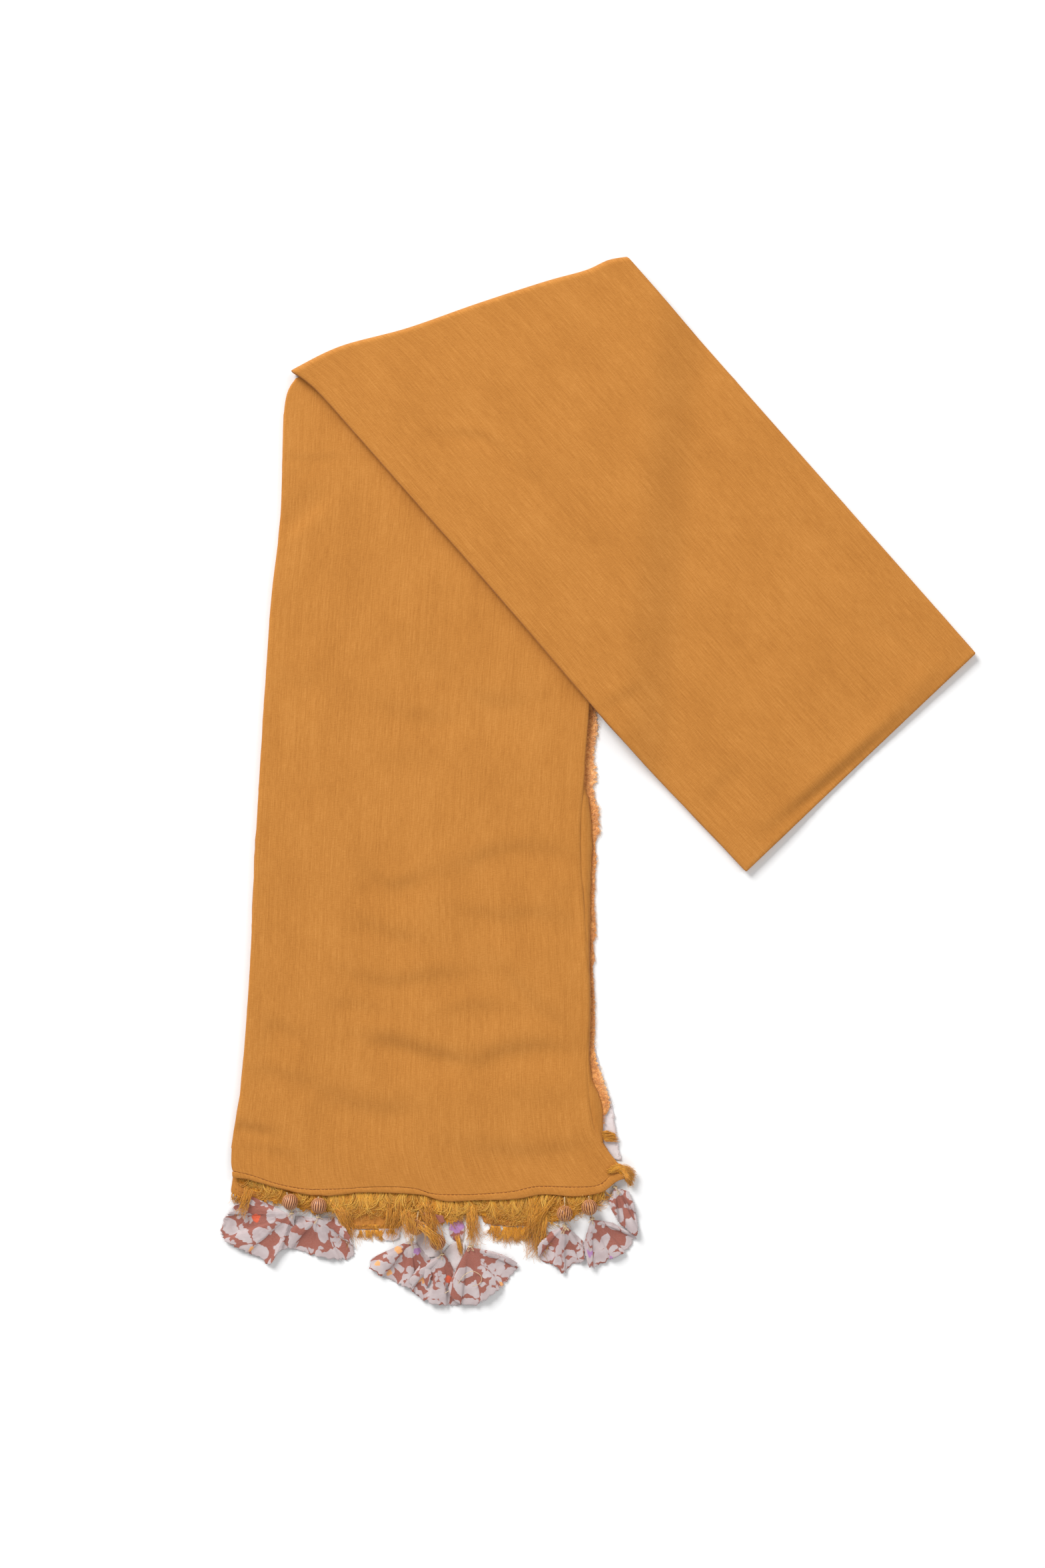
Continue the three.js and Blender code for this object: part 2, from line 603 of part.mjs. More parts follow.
// A tassel: a fan of thin cloth from its neck to its edge, whose flutes grow outwards.
function tassel({ neck, edge, flutes, rise, neckTop }) {
  const outer = curve(edge);
  const steps = 4 * flutes;
  const out = [0, 0.25, 0.6, 1];
  const floor = chiffonWall / 2 + clearance;
  const point = (u, r, side) => {
    const inner = new THREE.Vector2(neck[0] + (u - 0.5) * neckWidth, neck[1]);
    const { x, y } = inner.lerp(outer.getPointAt(u), r);
    const wave = 0.5 - 0.5 * Math.cos(2 * Math.PI * flutes * u);
    const head = (neckTop - floor) * (1 - smoothstep(r, 0, 0.7));
    const fold = rise * wave * smoothstep(r, 0, 0.8);
    return new THREE.Vector3(x, y, floor + head + fold + side * chiffonWall / 2);
  };
  const [low, high] = [-1, 1].map((side) => grid(even(steps), out, (u, r) => point(u, r, side)));
  return shell(low, high, []);
}

// A turned bead with a bore along its axis.
function bead() {
  const profile = [];
  const first = Math.asin(boreRadius / beadRadius);
  const steps = 7;
  for (let k = 0; k <= steps; k++) {
    const angle = lerp(first, Math.PI - first, k / steps);
    profile.push(new THREE.Vector2(beadRadius * Math.sin(angle), -beadRadius * Math.cos(angle)));
  }
  profile.push(profile[0].clone());
  return new THREE.LatheGeometry(profile, 10);
}

const beadHeight = beadRadius + clearance;

// A tie: a round cord from the hem, through its bead if it has one, to the tassel's neck.
function tie({ start, bead: centre, neck }, neckTop) {
  const end = new THREE.Vector3(neck[0], neck[1], neckTop);
  const stops = [new THREE.Vector3(...start)];
  if (centre) {
    const middle = new THREE.Vector3(centre[0], centre[1], beadHeight);
    const along = end.clone().sub(stops[0]).setZ(0).normalize();
    const clearOfBead = beadRadius + clearance;
    stops.push(middle.clone().addScaledVector(along, -clearOfBead));
    stops.push(middle.clone().addScaledVector(along, clearOfBead));
  }
  stops.push(end);
  const path = new THREE.CurvePath();
  for (let k = 0; k + 1 < stops.length; k++) path.add(new THREE.LineCurve3(stops[k], stops[k + 1]));
  const sides = 6;
  const round = new THREE.Shape(Array.from({ length: sides }, (_, k) => {
    const angle = 2 * Math.PI * k / sides;
    return new THREE.Vector2(tieRadius * Math.cos(angle), tieRadius * Math.sin(angle));
  }));
  return new THREE.ExtrudeGeometry(round, { steps: centre ? 7 : 2, extrudePath: path, bevelEnabled: false });
}

// Materials
const cloth = { color: 0xc78a3e, roughness: 0.9, metalness: 0 };
const looks = {
  cloth,
  folds: { ...cloth, color: 0xbd8238 },
  fringe: { ...cloth, color: 0xc69a3a },
  fray: { ...cloth, color: 0xdc9a64 },
  gauze: { ...cloth, color: 0xd3bcc2 },
  chiffon: { ...cloth, color: 0xc9b3b9, roughness: 0.75 },
  bead: { color: 0xd9a066, roughness: 0.55, metalness: 0 },
  tie: { ...cloth, color: 0xe6d0a8 },
};

const sarong = new THREE.Group();

function add(name, look, geometry) {
  const mesh = new THREE.Mesh(geometry, new THREE.MeshStandardMaterial(looks[look]));
  mesh.name = name;
  sarong.add(mesh);
  return mesh;
}

add("under_leg_folds", "folds", underLegFolds());
add("under_leg_cloth", "cloth", underLegCloth());
add("over_leg_folds", "folds", overLegFolds());
add("over_leg_cloth", "cloth", overLegCloth());
add("top_hem", "cloth", topHem());
add("second_hem", "cloth", secondHem());
add("third_hem", "cloth", thirdHem());
for (const row of fringes) add(row.name, "fringe", fringe(row));
for (const row of frays) add(row.name, "fray", fray(row));
add("side_gauze", "gauze", sideGauze());
for (const row of tassels) add(row.name, "chiffon", tassel(row));
for (const row of ties) {
  const head = tassels.find(({ neck }) => Math.hypot(neck[0] - row.neck[0], neck[1] - row.neck[1]) < 2);
  add(row.name, "tie", tie(row, head.neckTop));
  if (!row.bead) continue;
  const turned = add(row.name.replace("tie", "bead"), "bead", bead());
  const heading = Math.atan2(row.neck[1] - row.start[1], row.neck[0] - row.start[0]);
  turned.position.set(row.bead[0], row.bead[1], beadHeight);
  turned.rotation.z = heading - Math.PI / 2;
}

// The origin is the middle of the outline, on the table.
const box = new THREE.Box3().setFromObject(sarong);
const middle = box.getCenter(new THREE.Vector3());
for (const mesh of sarong.children) mesh.position.sub(new THREE.Vector3(middle.x, middle.y, box.min.z));

export default sarong;
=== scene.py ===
# A cotton voile sarong with fringed, beaded and tasselled ends, folded small and laid flat.
# Sizes are in millimetres and become metres only where a mesh is made. +Z is up.
import math

import bpy
import numpy as np
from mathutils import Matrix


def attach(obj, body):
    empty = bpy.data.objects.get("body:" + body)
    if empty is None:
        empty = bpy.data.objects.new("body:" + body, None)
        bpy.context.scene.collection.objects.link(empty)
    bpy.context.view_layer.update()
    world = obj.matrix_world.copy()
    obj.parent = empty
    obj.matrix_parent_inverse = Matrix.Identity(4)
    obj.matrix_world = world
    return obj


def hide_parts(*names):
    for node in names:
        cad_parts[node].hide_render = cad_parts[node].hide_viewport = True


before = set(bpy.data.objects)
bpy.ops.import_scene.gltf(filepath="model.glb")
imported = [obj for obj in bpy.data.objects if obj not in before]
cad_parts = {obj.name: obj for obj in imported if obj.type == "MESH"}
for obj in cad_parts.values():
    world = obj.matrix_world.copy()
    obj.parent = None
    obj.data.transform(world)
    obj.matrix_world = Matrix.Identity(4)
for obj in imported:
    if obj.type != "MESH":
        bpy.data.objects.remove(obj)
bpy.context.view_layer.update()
millimetre = 0.001
dice = np.random.default_rng(11)


# Curves, patches and meshes

layoutShift = {"x": -0.381, "y": -0.223}  # from the cutting layout to the middle of the outline
threadSides = 3


def stepsOf(points):
    return np.linalg.norm(np.diff(points, axis=0), axis=1)


def travelled(points):
    # how far along a line each of its points lies
    return np.concatenate([[0], np.cumsum(stepsOf(points))])


def fromRows(rows, at, column=1, **beyond):
    # a value between rows, by the number that each row starts with
    rows = np.array(sorted(rows), float)
    return np.interp(at, rows[:, 0], rows[:, column], **beyond)


def alongCurve(rows, shares):
    # points on a smooth curve through x, y (and z) rows, at shares of its length
    rows = np.array(rows, float)
    last = len(rows) - 1
    steps = np.linspace(0, last, 24 * last + 1)
    k = np.minimum(steps.astype(int), last - 1)
    w = (steps - k)[:, None]
    a, b, c, d = rows[np.maximum(k - 1, 0)], rows[k], rows[k + 1], rows[np.minimum(k + 2, last)]
    into, out = (c - a) / 2, (d - b) / 2
    points = (2 * b - 2 * c + into + out) * w**3 + (3 * c - 3 * b - 2 * into - out) * w**2 + into * w + b
    length = travelled(points)
    at = np.clip(shares, 0, 1) * length[-1]
    return np.stack([np.interp(at, length, column) for column in points.T], -1)


def leftOf(points):
    # unit vectors to the left of a plane curve
    run = np.gradient(points[:, :2], axis=0)
    run /= np.linalg.norm(run, axis=1)[:, None]
    return np.stack([-run[:, 1], run[:, 0]], -1)


def beside(rows, distance, low=0.0, high=1.0, count=48):
    # rows beside a curve, at a distance to its left
    points = alongCurve(rows, np.linspace(low, high, count + 1))
    return points + leftOf(points) * distance


def plan(west, east, south, north, us, vs):
    # the patch between four edges that meet at its corners
    w, e = alongCurve(west, vs), alongCurve(east, vs)
    s, n = alongCurve(south, us), alongCurve(north, us)
    u, v = us[:, None, None], vs[None, :, None]
    sides = s[:, None] * (1 - v) + n[:, None] * v + w[None] * (1 - u) + e[None] * u
    corners = s[0] * (1 - u) * (1 - v) + s[-1] * u * (1 - v) + n[0] * (1 - u) * v + n[-1] * u * v
    return sides - corners


def betweenCurves(lower, upper, across):
    # a grid of points from one curve to another, at shares of the way
    return lower[:, None] * (1 - across[None, :, None]) + upper[:, None] * across[None, :, None]


def smooth(x, low, high):
    t = np.clip((x - low) / (high - low), 0, 1)
    return t * t * (3 - 2 * t)


def ripple(x, y, wave, seed, stretch=(1.0, 1.0)):
    # a smooth uneven field from about -1 to 1, with features of about one wave
    source, count = np.random.default_rng(seed), 9
    x, y, total = x / stretch[0], y / stretch[1], 0
    for _ in range(count):
        angle, phase = source.uniform(0, 2 * math.pi, 2)
        k = 2 * math.pi / (wave * source.uniform(0.7, 1.7))
        total = total + np.sin(k * (x * math.cos(angle) + y * math.sin(angle)) + phase)
    return total / (count / 2)


def stations(span, pitch, close=(0.0, 0.12, 0.4, 0.9, 1.6, 2.4)):
    # shares of a span: close ones just inside each end, and even ones between
    inner = np.linspace(close[-1], span - close[-1], max(2, round((span - 2 * close[-1]) / pitch)) + 1)
    return np.concatenate([close[:-1], inner, span - np.array(close[-2::-1])]) / span


def makePiece(name, points, faces, material, nodes=(), uv=None, fields=None):
    mesh = bpy.data.meshes.new(name)
    placed = points + np.array([layoutShift["x"], layoutShift["y"], 0])
    mesh.from_pydata((placed * millimetre).tolist(), [], faces)
    mesh.update()
    if uv is not None:
        corner = np.empty(len(mesh.loops), np.int32)
        mesh.loops.foreach_get("vertex_index", corner)
        layer = mesh.uv_layers.new(name="cloth")
        layer.data.foreach_set("uv", (uv[corner] * millimetre).astype(np.float32).ravel())
    for field, values in (fields or {}).items():
        store = mesh.attributes.new(field, "FLOAT", "POINT")
        store.data.foreach_set("value", np.asarray(values, np.float32))
    mesh.polygons.foreach_set("use_smooth", [True] * len(mesh.polygons))
    mesh.materials.append(material)
    piece = bpy.data.objects.new(name, mesh)
    bpy.context.collection.objects.link(piece)
    return finished(piece, nodes)


def finished(piece, nodes):
    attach(piece, "root")
    if nodes:
        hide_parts(*nodes)
    return piece


def shell(low, high, uv, bulge=0.5, loops=3):
    # a closed shell between a lower and an upper grid of points, rounded at its side
    m, n = low.shape[0] - 1, low.shape[1] - 1
    ring = [(i, 0, i, 1) for i in range(m)] + [(m, j, m - 1, j) for j in range(n)]
    ring += [(i, n, i, n - 1) for i in range(m, 0, -1)] + [(0, j, 1, j) for j in range(n, 0, -1)]
    i, j, insideI, insideJ = np.array(ring).T
    size = (m + 1) * (n + 1)
    below, above = low[i, j], high[i, j]
    outward = (below + above - low[insideI, insideJ] - high[insideI, insideJ]) / 2
    outward /= np.linalg.norm(outward, axis=1)[:, None]
    points, maps = [low.reshape(-1, 3)], [uv.reshape(-1, 2)]
    for k in range(1, loops + 1):
        angle = math.radians(180 * k / (loops + 1) - 90)
        rise = 0.5 + 0.5 * math.sin(angle)
        half = np.linalg.norm(above - below, axis=1)[:, None] * bulge * math.cos(angle)
        points.append(below * (1 - rise) + above * rise + outward * half)
        maps.append(uv[i, j] + half * (uv[i, j] - uv[insideI, insideJ]) / 2)
    points.append(high.reshape(-1, 3))
    maps.append(uv.reshape(-1, 2))
    grid = np.arange(size).reshape(m + 1, n + 1)
    a, b, c, d = (q.ravel() for q in (grid[:-1, :-1], grid[1:, :-1], grid[1:, 1:], grid[:-1, 1:]))
    top = size + loops * len(ring)
    quads = np.stack([a, d, c, b], -1).tolist() + (np.stack([a, b, c, d], -1) + top).tolist()
    rings = [grid[i, j]] + [size + k * len(ring) + np.arange(len(ring)) for k in range(loops)]
    rings.append(grid[i, j] + top)
    for lower, upper in zip(rings, rings[1:]):
        quads += np.stack([lower, np.roll(lower, -1), np.roll(upper, -1), upper], -1).tolist()
    points = np.concatenate(points)
    if signedVolume(low, high) < 0:
        quads = [quad[::-1] for quad in quads]
    return points, quads, np.concatenate(maps)


def signedVolume(low, high):
    # tells which way the grid turns: positive where u to the right and v away face up
    across, away = high[1:, :-1] - high[:-1, :-1], high[:-1, 1:] - high[:-1, :-1]
    return float((np.cross(across, away) * (high - low)[:-1, :-1]).sum())


def tubes(paths, radii, taper, sides=threadSides):
    # many thin tubes at once: paths is thread, step, xyz
    count, steps, _ = paths.shape
    run = np.gradient(paths, axis=1)
    run /= np.linalg.norm(run, axis=2, keepdims=True) + 1e-9
    side = np.cross(np.array([0.02, 0.03, 1.0]), run)
    side /= np.linalg.norm(side, axis=2, keepdims=True) + 1e-9
    up = np.cross(run, side)
    shrink = 1 - taper * np.linspace(0, 1, steps) ** 2
    radius = np.asarray(radii)[:, None, None] * shrink[None, :, None]
    corners = []
    for k in range(sides):
        angle = 2 * math.pi * k / sides + math.pi / 2
        corners.append(paths + radius * (side * math.cos(angle) + up * math.sin(angle)))
    points = np.stack(corners, 2).reshape(-1, 3)
    first = np.arange(count)[:, None, None] * steps * sides
    step = first + np.arange(steps - 1)[None, :, None] * sides
    k, after = np.arange(sides), (np.arange(sides) + 1) % sides
    walls = np.stack(np.broadcast_arrays(step + k, step + after, step + after + sides, step + k + sides), -1)
    root = first[:, :, 0] + np.arange(sides)[::-1]
    tip = first[:, :, 0] + (steps - 1) * sides + np.arange(sides)
    faces = walls.reshape(-1, 4).tolist() + root.tolist() + tip.tolist()
    return points, faces


def perThread(values, steps):
    # a value of each thread for all its points
    return np.repeat(np.asarray(values), steps * threadSides)


# Materials

def newMaterial(name, roughness, sheen=0.0, specular=0.3):
    material = bpy.data.materials.new(name)
    material.use_nodes = True
    shader = material.node_tree.nodes["Principled BSDF"]
    shader.inputs["Roughness"].default_value = roughness
    shader.inputs["Specular IOR Level"].default_value = specular
    shader.inputs["Sheen Weight"].default_value = sheen
    shader.inputs["Sheen Roughness"].default_value = 0.5
    return material, material.node_tree, shader


def node(tree, kind, inputs=None, **settings):
    made = tree.nodes.new("ShaderNode" + kind)
    for key, value in settings.items():
        setattr(made, key, value)
    for key, value in (inputs or {}).items():
        if isinstance(value, bpy.types.NodeSocket):
            tree.links.new(value, made.inputs[key])
        else:
            made.inputs[key].default_value = value
    return made


def stretched(tree, source, scale):
    return node(tree, "Mapping", {"Vector": source, "Scale": scale}).outputs[0]


def noise(tree, vector, detail, scale=1.0, rough=0.5):
    inputs = {"Vector": vector, "Scale": scale, "Detail": detail, "Roughness": rough}
    return node(tree, "TexNoise", inputs).outputs[0]


def remap(tree, value, low, high, toLow=0.0, toHigh=1.0):
    inputs = {"Value": value, "From Min": low, "From Max": high, "To Min": toLow, "To Max": toHigh}
    return node(tree, "MapRange", inputs).outputs[0]


def calculate(tree, operation, first, second):
    return node(tree, "Math", {0: first, 1: second}, operation=operation).outputs[0]


def weighted(tree, parts):
    # the sum of values, each times its weight
    total = 0.0
    for value, weight in parts:
        made = node(tree, "Math", {0: value, 1: weight, 2: total}, operation="MULTIPLY_ADD")
        total = made.outputs[0]
    return total


def blendColours(tree, share, first, second):
    made = node(tree, "Mix", {"Factor": share}, data_type="RGBA")
    for index, value in ((6, first), (7, second)):
        if isinstance(value, bpy.types.NodeSocket):
            tree.links.new(value, made.inputs[index])
        else:
            made.inputs[index].default_value = (*value, 1)
    return made.outputs[2]


def bump(tree, shader, height, distance, strength):
    made = node(tree, "Bump", {"Height": height, "Distance": distance, "Strength": strength})
    tree.links.new(made.outputs[0], shader.inputs["Normal"])


voile = {
    "colour": (0.50, 0.199, 0.036),
    "shade": (0.405, 0.151, 0.024),
    "light": (0.595, 0.254, 0.055),
    "yarnPitch": 0.46,  # between neighbouring yarns
    "yarnHeight": 0.12,  # against the uneven tone's
    "relief": 0.22,
}
# what makes its tone uneven: how fine each noise is across and along, its detail, roughness and share
voileNoises = [
    ((2100, 130, 1), 2, 0.5, 0.27),  # warp
    ((300, 2100, 1), 2, 0.5, 0.20),  # weft
    ((1000, 16, 1), 1, 0.5, 0.17),  # slubs
    ((34, 20, 1), 4, 0.6, 0.21),  # clouds
    ((1500, 1500, 1), 1, 0.5, 0.15),  # grain
]


def makeVoile():
    material, tree, shader = newMaterial("cotton_voile", 0.85, sheen=0.08, specular=0.2)
    place = node(tree, "UVMap", uv_map="cloth").outputs[0]
    tone = weighted(tree, [(noise(tree, stretched(tree, place, scale), detail, rough=rough), share)
                           for scale, detail, rough, share in voileNoises])
    colour = blendColours(tree, remap(tree, tone, 0.36, 0.50), voile["shade"], voile["colour"])
    colour = blendColours(tree, remap(tree, tone, 0.50, 0.64), colour, voile["light"])
    tree.links.new(colour, shader.inputs["Base Color"])
    yarns = []
    for direction in ("X", "Y"):
        scale = math.pi / 10 / (voile["yarnPitch"] * millimetre)
        inputs = {"Vector": place, "Scale": scale, "Distortion": 0.6, "Detail": 1.0}
        yarns.append(node(tree, "TexWave", inputs, bands_direction=direction).outputs["Fac"])
    woven = calculate(tree, "MULTIPLY", yarns[0], yarns[1])
    height = calculate(tree, "ADD", calculate(tree, "MULTIPLY", woven, voile["yarnHeight"]), tone)
    bump(tree, shader, height, voile["relief"] * millimetre, 0.75)
    return material


materials = {"voile": makeVoile()}
print("materials made")


# Camera, floor and soft studio light

studio = {
    "centre": (-47.5, -1.5),  # what the camera looks straight down on
    "cameraHeight": 2000,
    "frameHeight": 980.8,  # of the whole view, at the surface
    "sensor": 36,
    "floorSize": 9000,
    "floorColour": (0.93, 0.93, 0.93),
    "floorLevel": -0.2,
    "ambient": 0.34,
}
lights = [
    {"name": "keyLight", "at": (-2500, 3400, 3000), "size": 2400, "power": 300},
    {"name": "fillLight", "at": (2600, 1500, 2800), "size": 2600, "power": 40},
    {"name": "lowLight", "at": (600, -3000, 2400), "size": 2400, "power": 26},
]


def makeStudio():
    x, y = studio["centre"]
    bpy.ops.object.select_all(action="DESELECT")
    bpy.ops.object.camera_add(location=(x * millimetre, y * millimetre, studio["cameraHeight"] * millimetre))
    camera = bpy.context.object
    camera.data.sensor_fit = "VERTICAL"
    camera.data.sensor_height = studio["sensor"]
    camera.data.sensor_width = studio["sensor"]
    camera.data.lens = studio["sensor"] * studio["cameraHeight"] / studio["frameHeight"]
    bpy.context.scene.camera = camera
    bpy.ops.mesh.primitive_plane_add(size=studio["floorSize"] * millimetre,
                                     location=(0, 0, studio["floorLevel"] * millimetre))
    floor = bpy.context.object
    floor.name = "floor"
    material, _, shader = newMaterial("pale_floor", 0.9)
    shader.inputs["Base Color"].default_value = (*studio["floorColour"], 1)
    floor.data.materials.append(material)
    for row in lights:
        at = [value * millimetre for value in row["at"]]
        bpy.ops.object.light_add(type="AREA", location=at)
        light = bpy.context.object
        light.name = row["name"]
        light.data.size = row["size"] * millimetre
        light.data.energy = row["power"]
        light.rotation_euler = light.location.to_track_quat("Z", "Y").to_euler()
    world = bpy.data.worlds.new("studio")
    world.use_nodes = True
    world.node_tree.nodes["Background"].inputs["Color"].default_value = (1, 1, 1, 1)
    world.node_tree.nodes["Background"].inputs["Strength"].default_value = studio["ambient"]
    bpy.context.scene.world = world
    bpy.context.scene.view_settings.view_transform = "Standard"


makeStudio()
print("studio made")


# The cloth's two legs

leg = {
    "width": 200,
    "underLength": 510,
    "overLength": 420,
    "ply": 1.2,
    "pile": 4.0,  # the hidden plies of one leg
    "gap": 0.3,
    "roll": 0.7,  # how far a ply turns down at a folded edge
    "rollWidth": 2.4,
    "foldRadius": 4.1,  # inset of the slanting fold's turn from the outline
    "foldSeam": 1.9,
    "rampStart": 18,  # past the lower leg's edge, where the upper leg comes down
    "rampWidth": 38,
    "hemDrop": 0.4,
    "hemFall": 42,
    "pucker": 0.14,  # of the cloth beside the hem's stitches
    "puckerWave": 9,
    "underCreasing": 1.5,
    "overCreasing": 1.7,
    "pitch": 2.8,
    "turnSteps": 14,
}
leg["top"] = leg["pile"] + leg["gap"] + leg["ply"] / 2
leg["crossing"] = leg["pile"] + leg["ply"] + 2 * leg["gap"]

stitchLine = [
    (-227.7, -242.5), (-216.4, -245.0), (-200.2, -250.4), (-182.2, -253.7), (-164.3, -253.7),
    (-134.3, -252.1), (-114.3, -253.3), (-102.6, -256.7), (-80.5, -257.1), (-54.6, -255.4),
    (-37.5, -252.1), (-14.2, -252.5), (0.4, -251.2), (7.5, -245.5), (15.5, -241.7),
]
hemEdge = [
    (-227.7, -246.7), (-219.3, -247.6), (-200.2, -253.1), (-182.2, -257.0), (-166.5, -257.8),
    (-145.9, -255.9), (-113.0, -257.1), (-96.3, -261.3), (-77.1, -260.8), (-51.7, -260.0),
    (-34.6, -257.1), (-14.2, -258.3), (2.1, -255.8), (11.3, -249.2), (19.0, -246.5),
]
underLeft = [
    (-227.7, -242.5), (-228.5, -236.6), (-227.3, -220.0), (-222.3, -188.7), (-216.8, -115.7),
    (-213.1, -36.1), (-206.4, 72.8), (-203.1, 117.8), (-197.7, 166.2), (-195.2, 233.7),
]
underRight = [
    (15.5, -241.7), (10.0, -235.8), (2.1, -225.0), (-3.8, -211.6), (-6.7, -180.4),
    (-5.8, -136.6), (-7.9, -94.9), (-11.3, -36.5), (-8.8, 6.0), (-5.8, 46.9),
]
slantFold = [
    (-191.4, 256.7), (-161.4, 271.3), (-119.7, 282.5), (-76.3, 297.5), (-33.4, 311.3),
    (-7.5, 318.4), (6.3, 324.6), (17.9, 326.7),
]
overLeft = [
    (-191.4, 256.7), (-175.1, 244.2), (-145.5, 211.2), (-105.9, 166.2), (-68.0, 123.2),
    (-24.6, 72.8), (2.5, 41.1), (35.4, 4.8), (73.4, -34.8), (92.6, -55.3),
]
overRight = [(17.9, 326.7), (235.2, 80.3)]
overEnd = [(92.6, -55.3), (235.2, 80.3)]
underNorth = beside(slantFold, -(leg["foldRadius"] + leg["foldSeam"]))
underSides = {
    "west": [*underLeft, underNorth[0]], "east": [*underRight, underNorth[-1]],
    "south": stitchLine, "north": underNorth,
}
overSides = {"west": overLeft, "east": overRight, "south": slantFold, "north": overEnd}

# each crease is a soft trough, steeper on its left, with a low ridge beyond: its path, depth, half width
# and ridge, where 1 is half as high as the trough is deep
underCreases = [
    ([(-150, -161), (-128, -166), (-103, -173), (-78, -179)], 1.5, 6.0, 0.5),
    ([(-82, -178), (-57, -172), (-36, -169), (-10, -171)], 1.25, 6.5, 0.35),
    ([(-78, -96), (-66, -113), (-50, -131), (-30, -150), (-12, -164)], 0.8, 5.0, 0.8),
    ([(-150, -54), (-133, -67), (-118, -66), (-104, -60)], 0.8, 5.0, 0.4),
    ([(-90, -58), (-62, -47), (-37, -45), (-10, -54)], 0.75, 6.0, 0.4),
    ([(-94, -81), (-62, -87), (-33, -86), (-10, -99)], 0.7, 5.5, 0.4),
    ([(-165, -119), (-133, -128), (-103, -124), (-70, -122)], 0.7, 5.5, 0.4),
    ([(-156, -85), (-133, -97), (-108, -102)], 0.55, 5.0, 0.5),
    ([(-96, -146), (-76, -143), (-55, -146)], 0.6, 5.0, 0.3),
    ([(-170, -140), (-148, -143), (-128, -150)], 0.5, 5.5, 0.3),
    ([(-180, -190), (-160, -203), (-138, -208), (-112, -209)], 1.0, 7.5, 0.4),
    ([(-210, -152), (-196, -158), (-182, -166)], 0.7, 6.0, 0.3),
    ([(-220, -181), (-195, -186), (-172, -195)], 0.5, 5.0, 0.4),
    ([(-232, -214), (-218, -218), (-200, -222)], 1.0, 4.0, 0.3),
    ([(-226, -229), (-205, -232), (-188, -236)], 0.5, 3.5, 0.4),
    ([(-88, -230), (-55, -234), (-25, -233), (4, -227)], 0.8, 6.5, 0.3),
    ([(-60, -196), (-35, -203), (-8, -200)], 0.4, 8.0, 0.3),
    ([(-120, 88), (-100, 72), (-82, 52), (-60, 45), (-34, 48)], 0.8, 8.0, 0.4),
    ([(-145, 49), (-118, 37), (-82, 35)], 0.5, 7.0, 0.4),
    ([(-197, 203), (-182, 201), (-162, 202)], 0.35, 1.6, 0.8),
    ([(-197, 193), (-172, 195)], 0.2, 1.5, 0.6),
    ([(-168, 180), (-180, 170), (-198, 153)], 0.55, 4.5, 0.5),
    ([(-150, 12), (-120, 8), (-88, 15)], 0.3, 9.0, 0.3),
    ([(-22, -60), (-15, -80), (-13, -108)], 0.5, 4.0, 0.3),
    ([(-199, 70), (-190, 60), (-172, 56)], 0.3, 6.0, 0.3),
]
overCreases = [
    ([(106, -33), (130, -14), (165, 14), (205, 52), (228, 78)], 0.9, 5.5, 0.45),
    ([(110, -28), (127, -15), (145, 1), (165, 18), (190, 40)], 0.8, 2.8, 0.6),
    ([(168, 103), (186, 88), (208, 66)], 0.5, 3.0, 0.5),
    ([(182, 108), (200, 92), (219, 74)], 0.35, 2.6, 0.5),
    ([(-105, 215), (-72, 213), (-45, 192), (-18, 166)], 0.35, 3.0, 0.5),
    ([(4, 42), (16, 51), (30, 57)], 0.35, 4.0, 0.4),
    ([(38, 208), (62, 180), (98, 140)], 0.2, 9.0, 0.4),
    ([(60, 110), (88, 84), (110, 52)], 0.2, 8.0, 0.4),
    ([(-10, 275), (18, 240), (44, 214)], 0.2, 7.0, 0.4),
    ([(120, 176), (140, 150), (160, 128)], 0.35, 5.0, 0.4),
    ([(66, -20), (84, 2), (96, 8)], 0.3, 6.0, 0.3),
]


creaseForm = {
    "steps": 24, "ends": 0.25, "fade": 0.3, "past": 3,  # how it fades towards its ends and past them
    "steep": 0.95, "gentle": 2.5,  # its width to the left and to the right
    "ridgeAt": 2.0, "ridgeWidth": 1.1,
}


def creased(creases, x, y):
    # how far the creases push a ply down at each place
    push, last, fading = np.zeros_like(x), creaseForm["steps"], creaseForm["fade"]
    for path, depth, half, ridge in creases:
        line = alongCurve(path, np.linspace(0, 1, last + 1))
        turned = leftOf(line)
        dx, dy = x[..., None] - line[:, 0], y[..., None] - line[:, 1]
        nearest = np.argmin(dx * dx + dy * dy, -1)
        pick = np.take_along_axis
        awayX = pick(dx, nearest[..., None], -1)[..., 0]
        awayY = pick(dy, nearest[..., None], -1)[..., 0]
        left = (awayX * turned[nearest, 0] + awayY * turned[nearest, 1]) / half
        onward = (awayX**2 + awayY**2) / half**2 - left**2  # past its ends
        share = nearest / last
        inside = (1 - creaseForm["ends"]) * smooth(share, 0, fading) * smooth(1 - share, 0, fading)
        fade = (creaseForm["ends"] + inside) * np.exp(-np.abs(onward) / creaseForm["past"])
        wide = np.where(left > 0, creaseForm["steep"], creaseForm["gentle"])
        beyond = np.exp(-(((left - creaseForm["ridgeAt"]) / creaseForm["ridgeWidth"]) ** 2))
        push += depth * fade * (np.exp(-((left / wide) ** 2)) - 0.5 * ridge * beyond)
    return push


def turnedDown(distance):
    # how far a ply turns down at a distance from its folded edge
    inside = np.clip(1 - distance / leg["rollWidth"], 0, 1)
    return leg["roll"] * (1 - np.sqrt(1 - 0.96 * inside**2))


# soft waves in each leg: how high, how wide, a seed and how far they are stretched
underWaves = [(0.16, 46, 3, (1.5, 1.0)), (0.05, 15, 4, (1.6, 1.0))]
overWaves = [(0.13, 60, 6, (1.0, 1.0)), (0.05, 17, 7, (1.0, 1.0))]


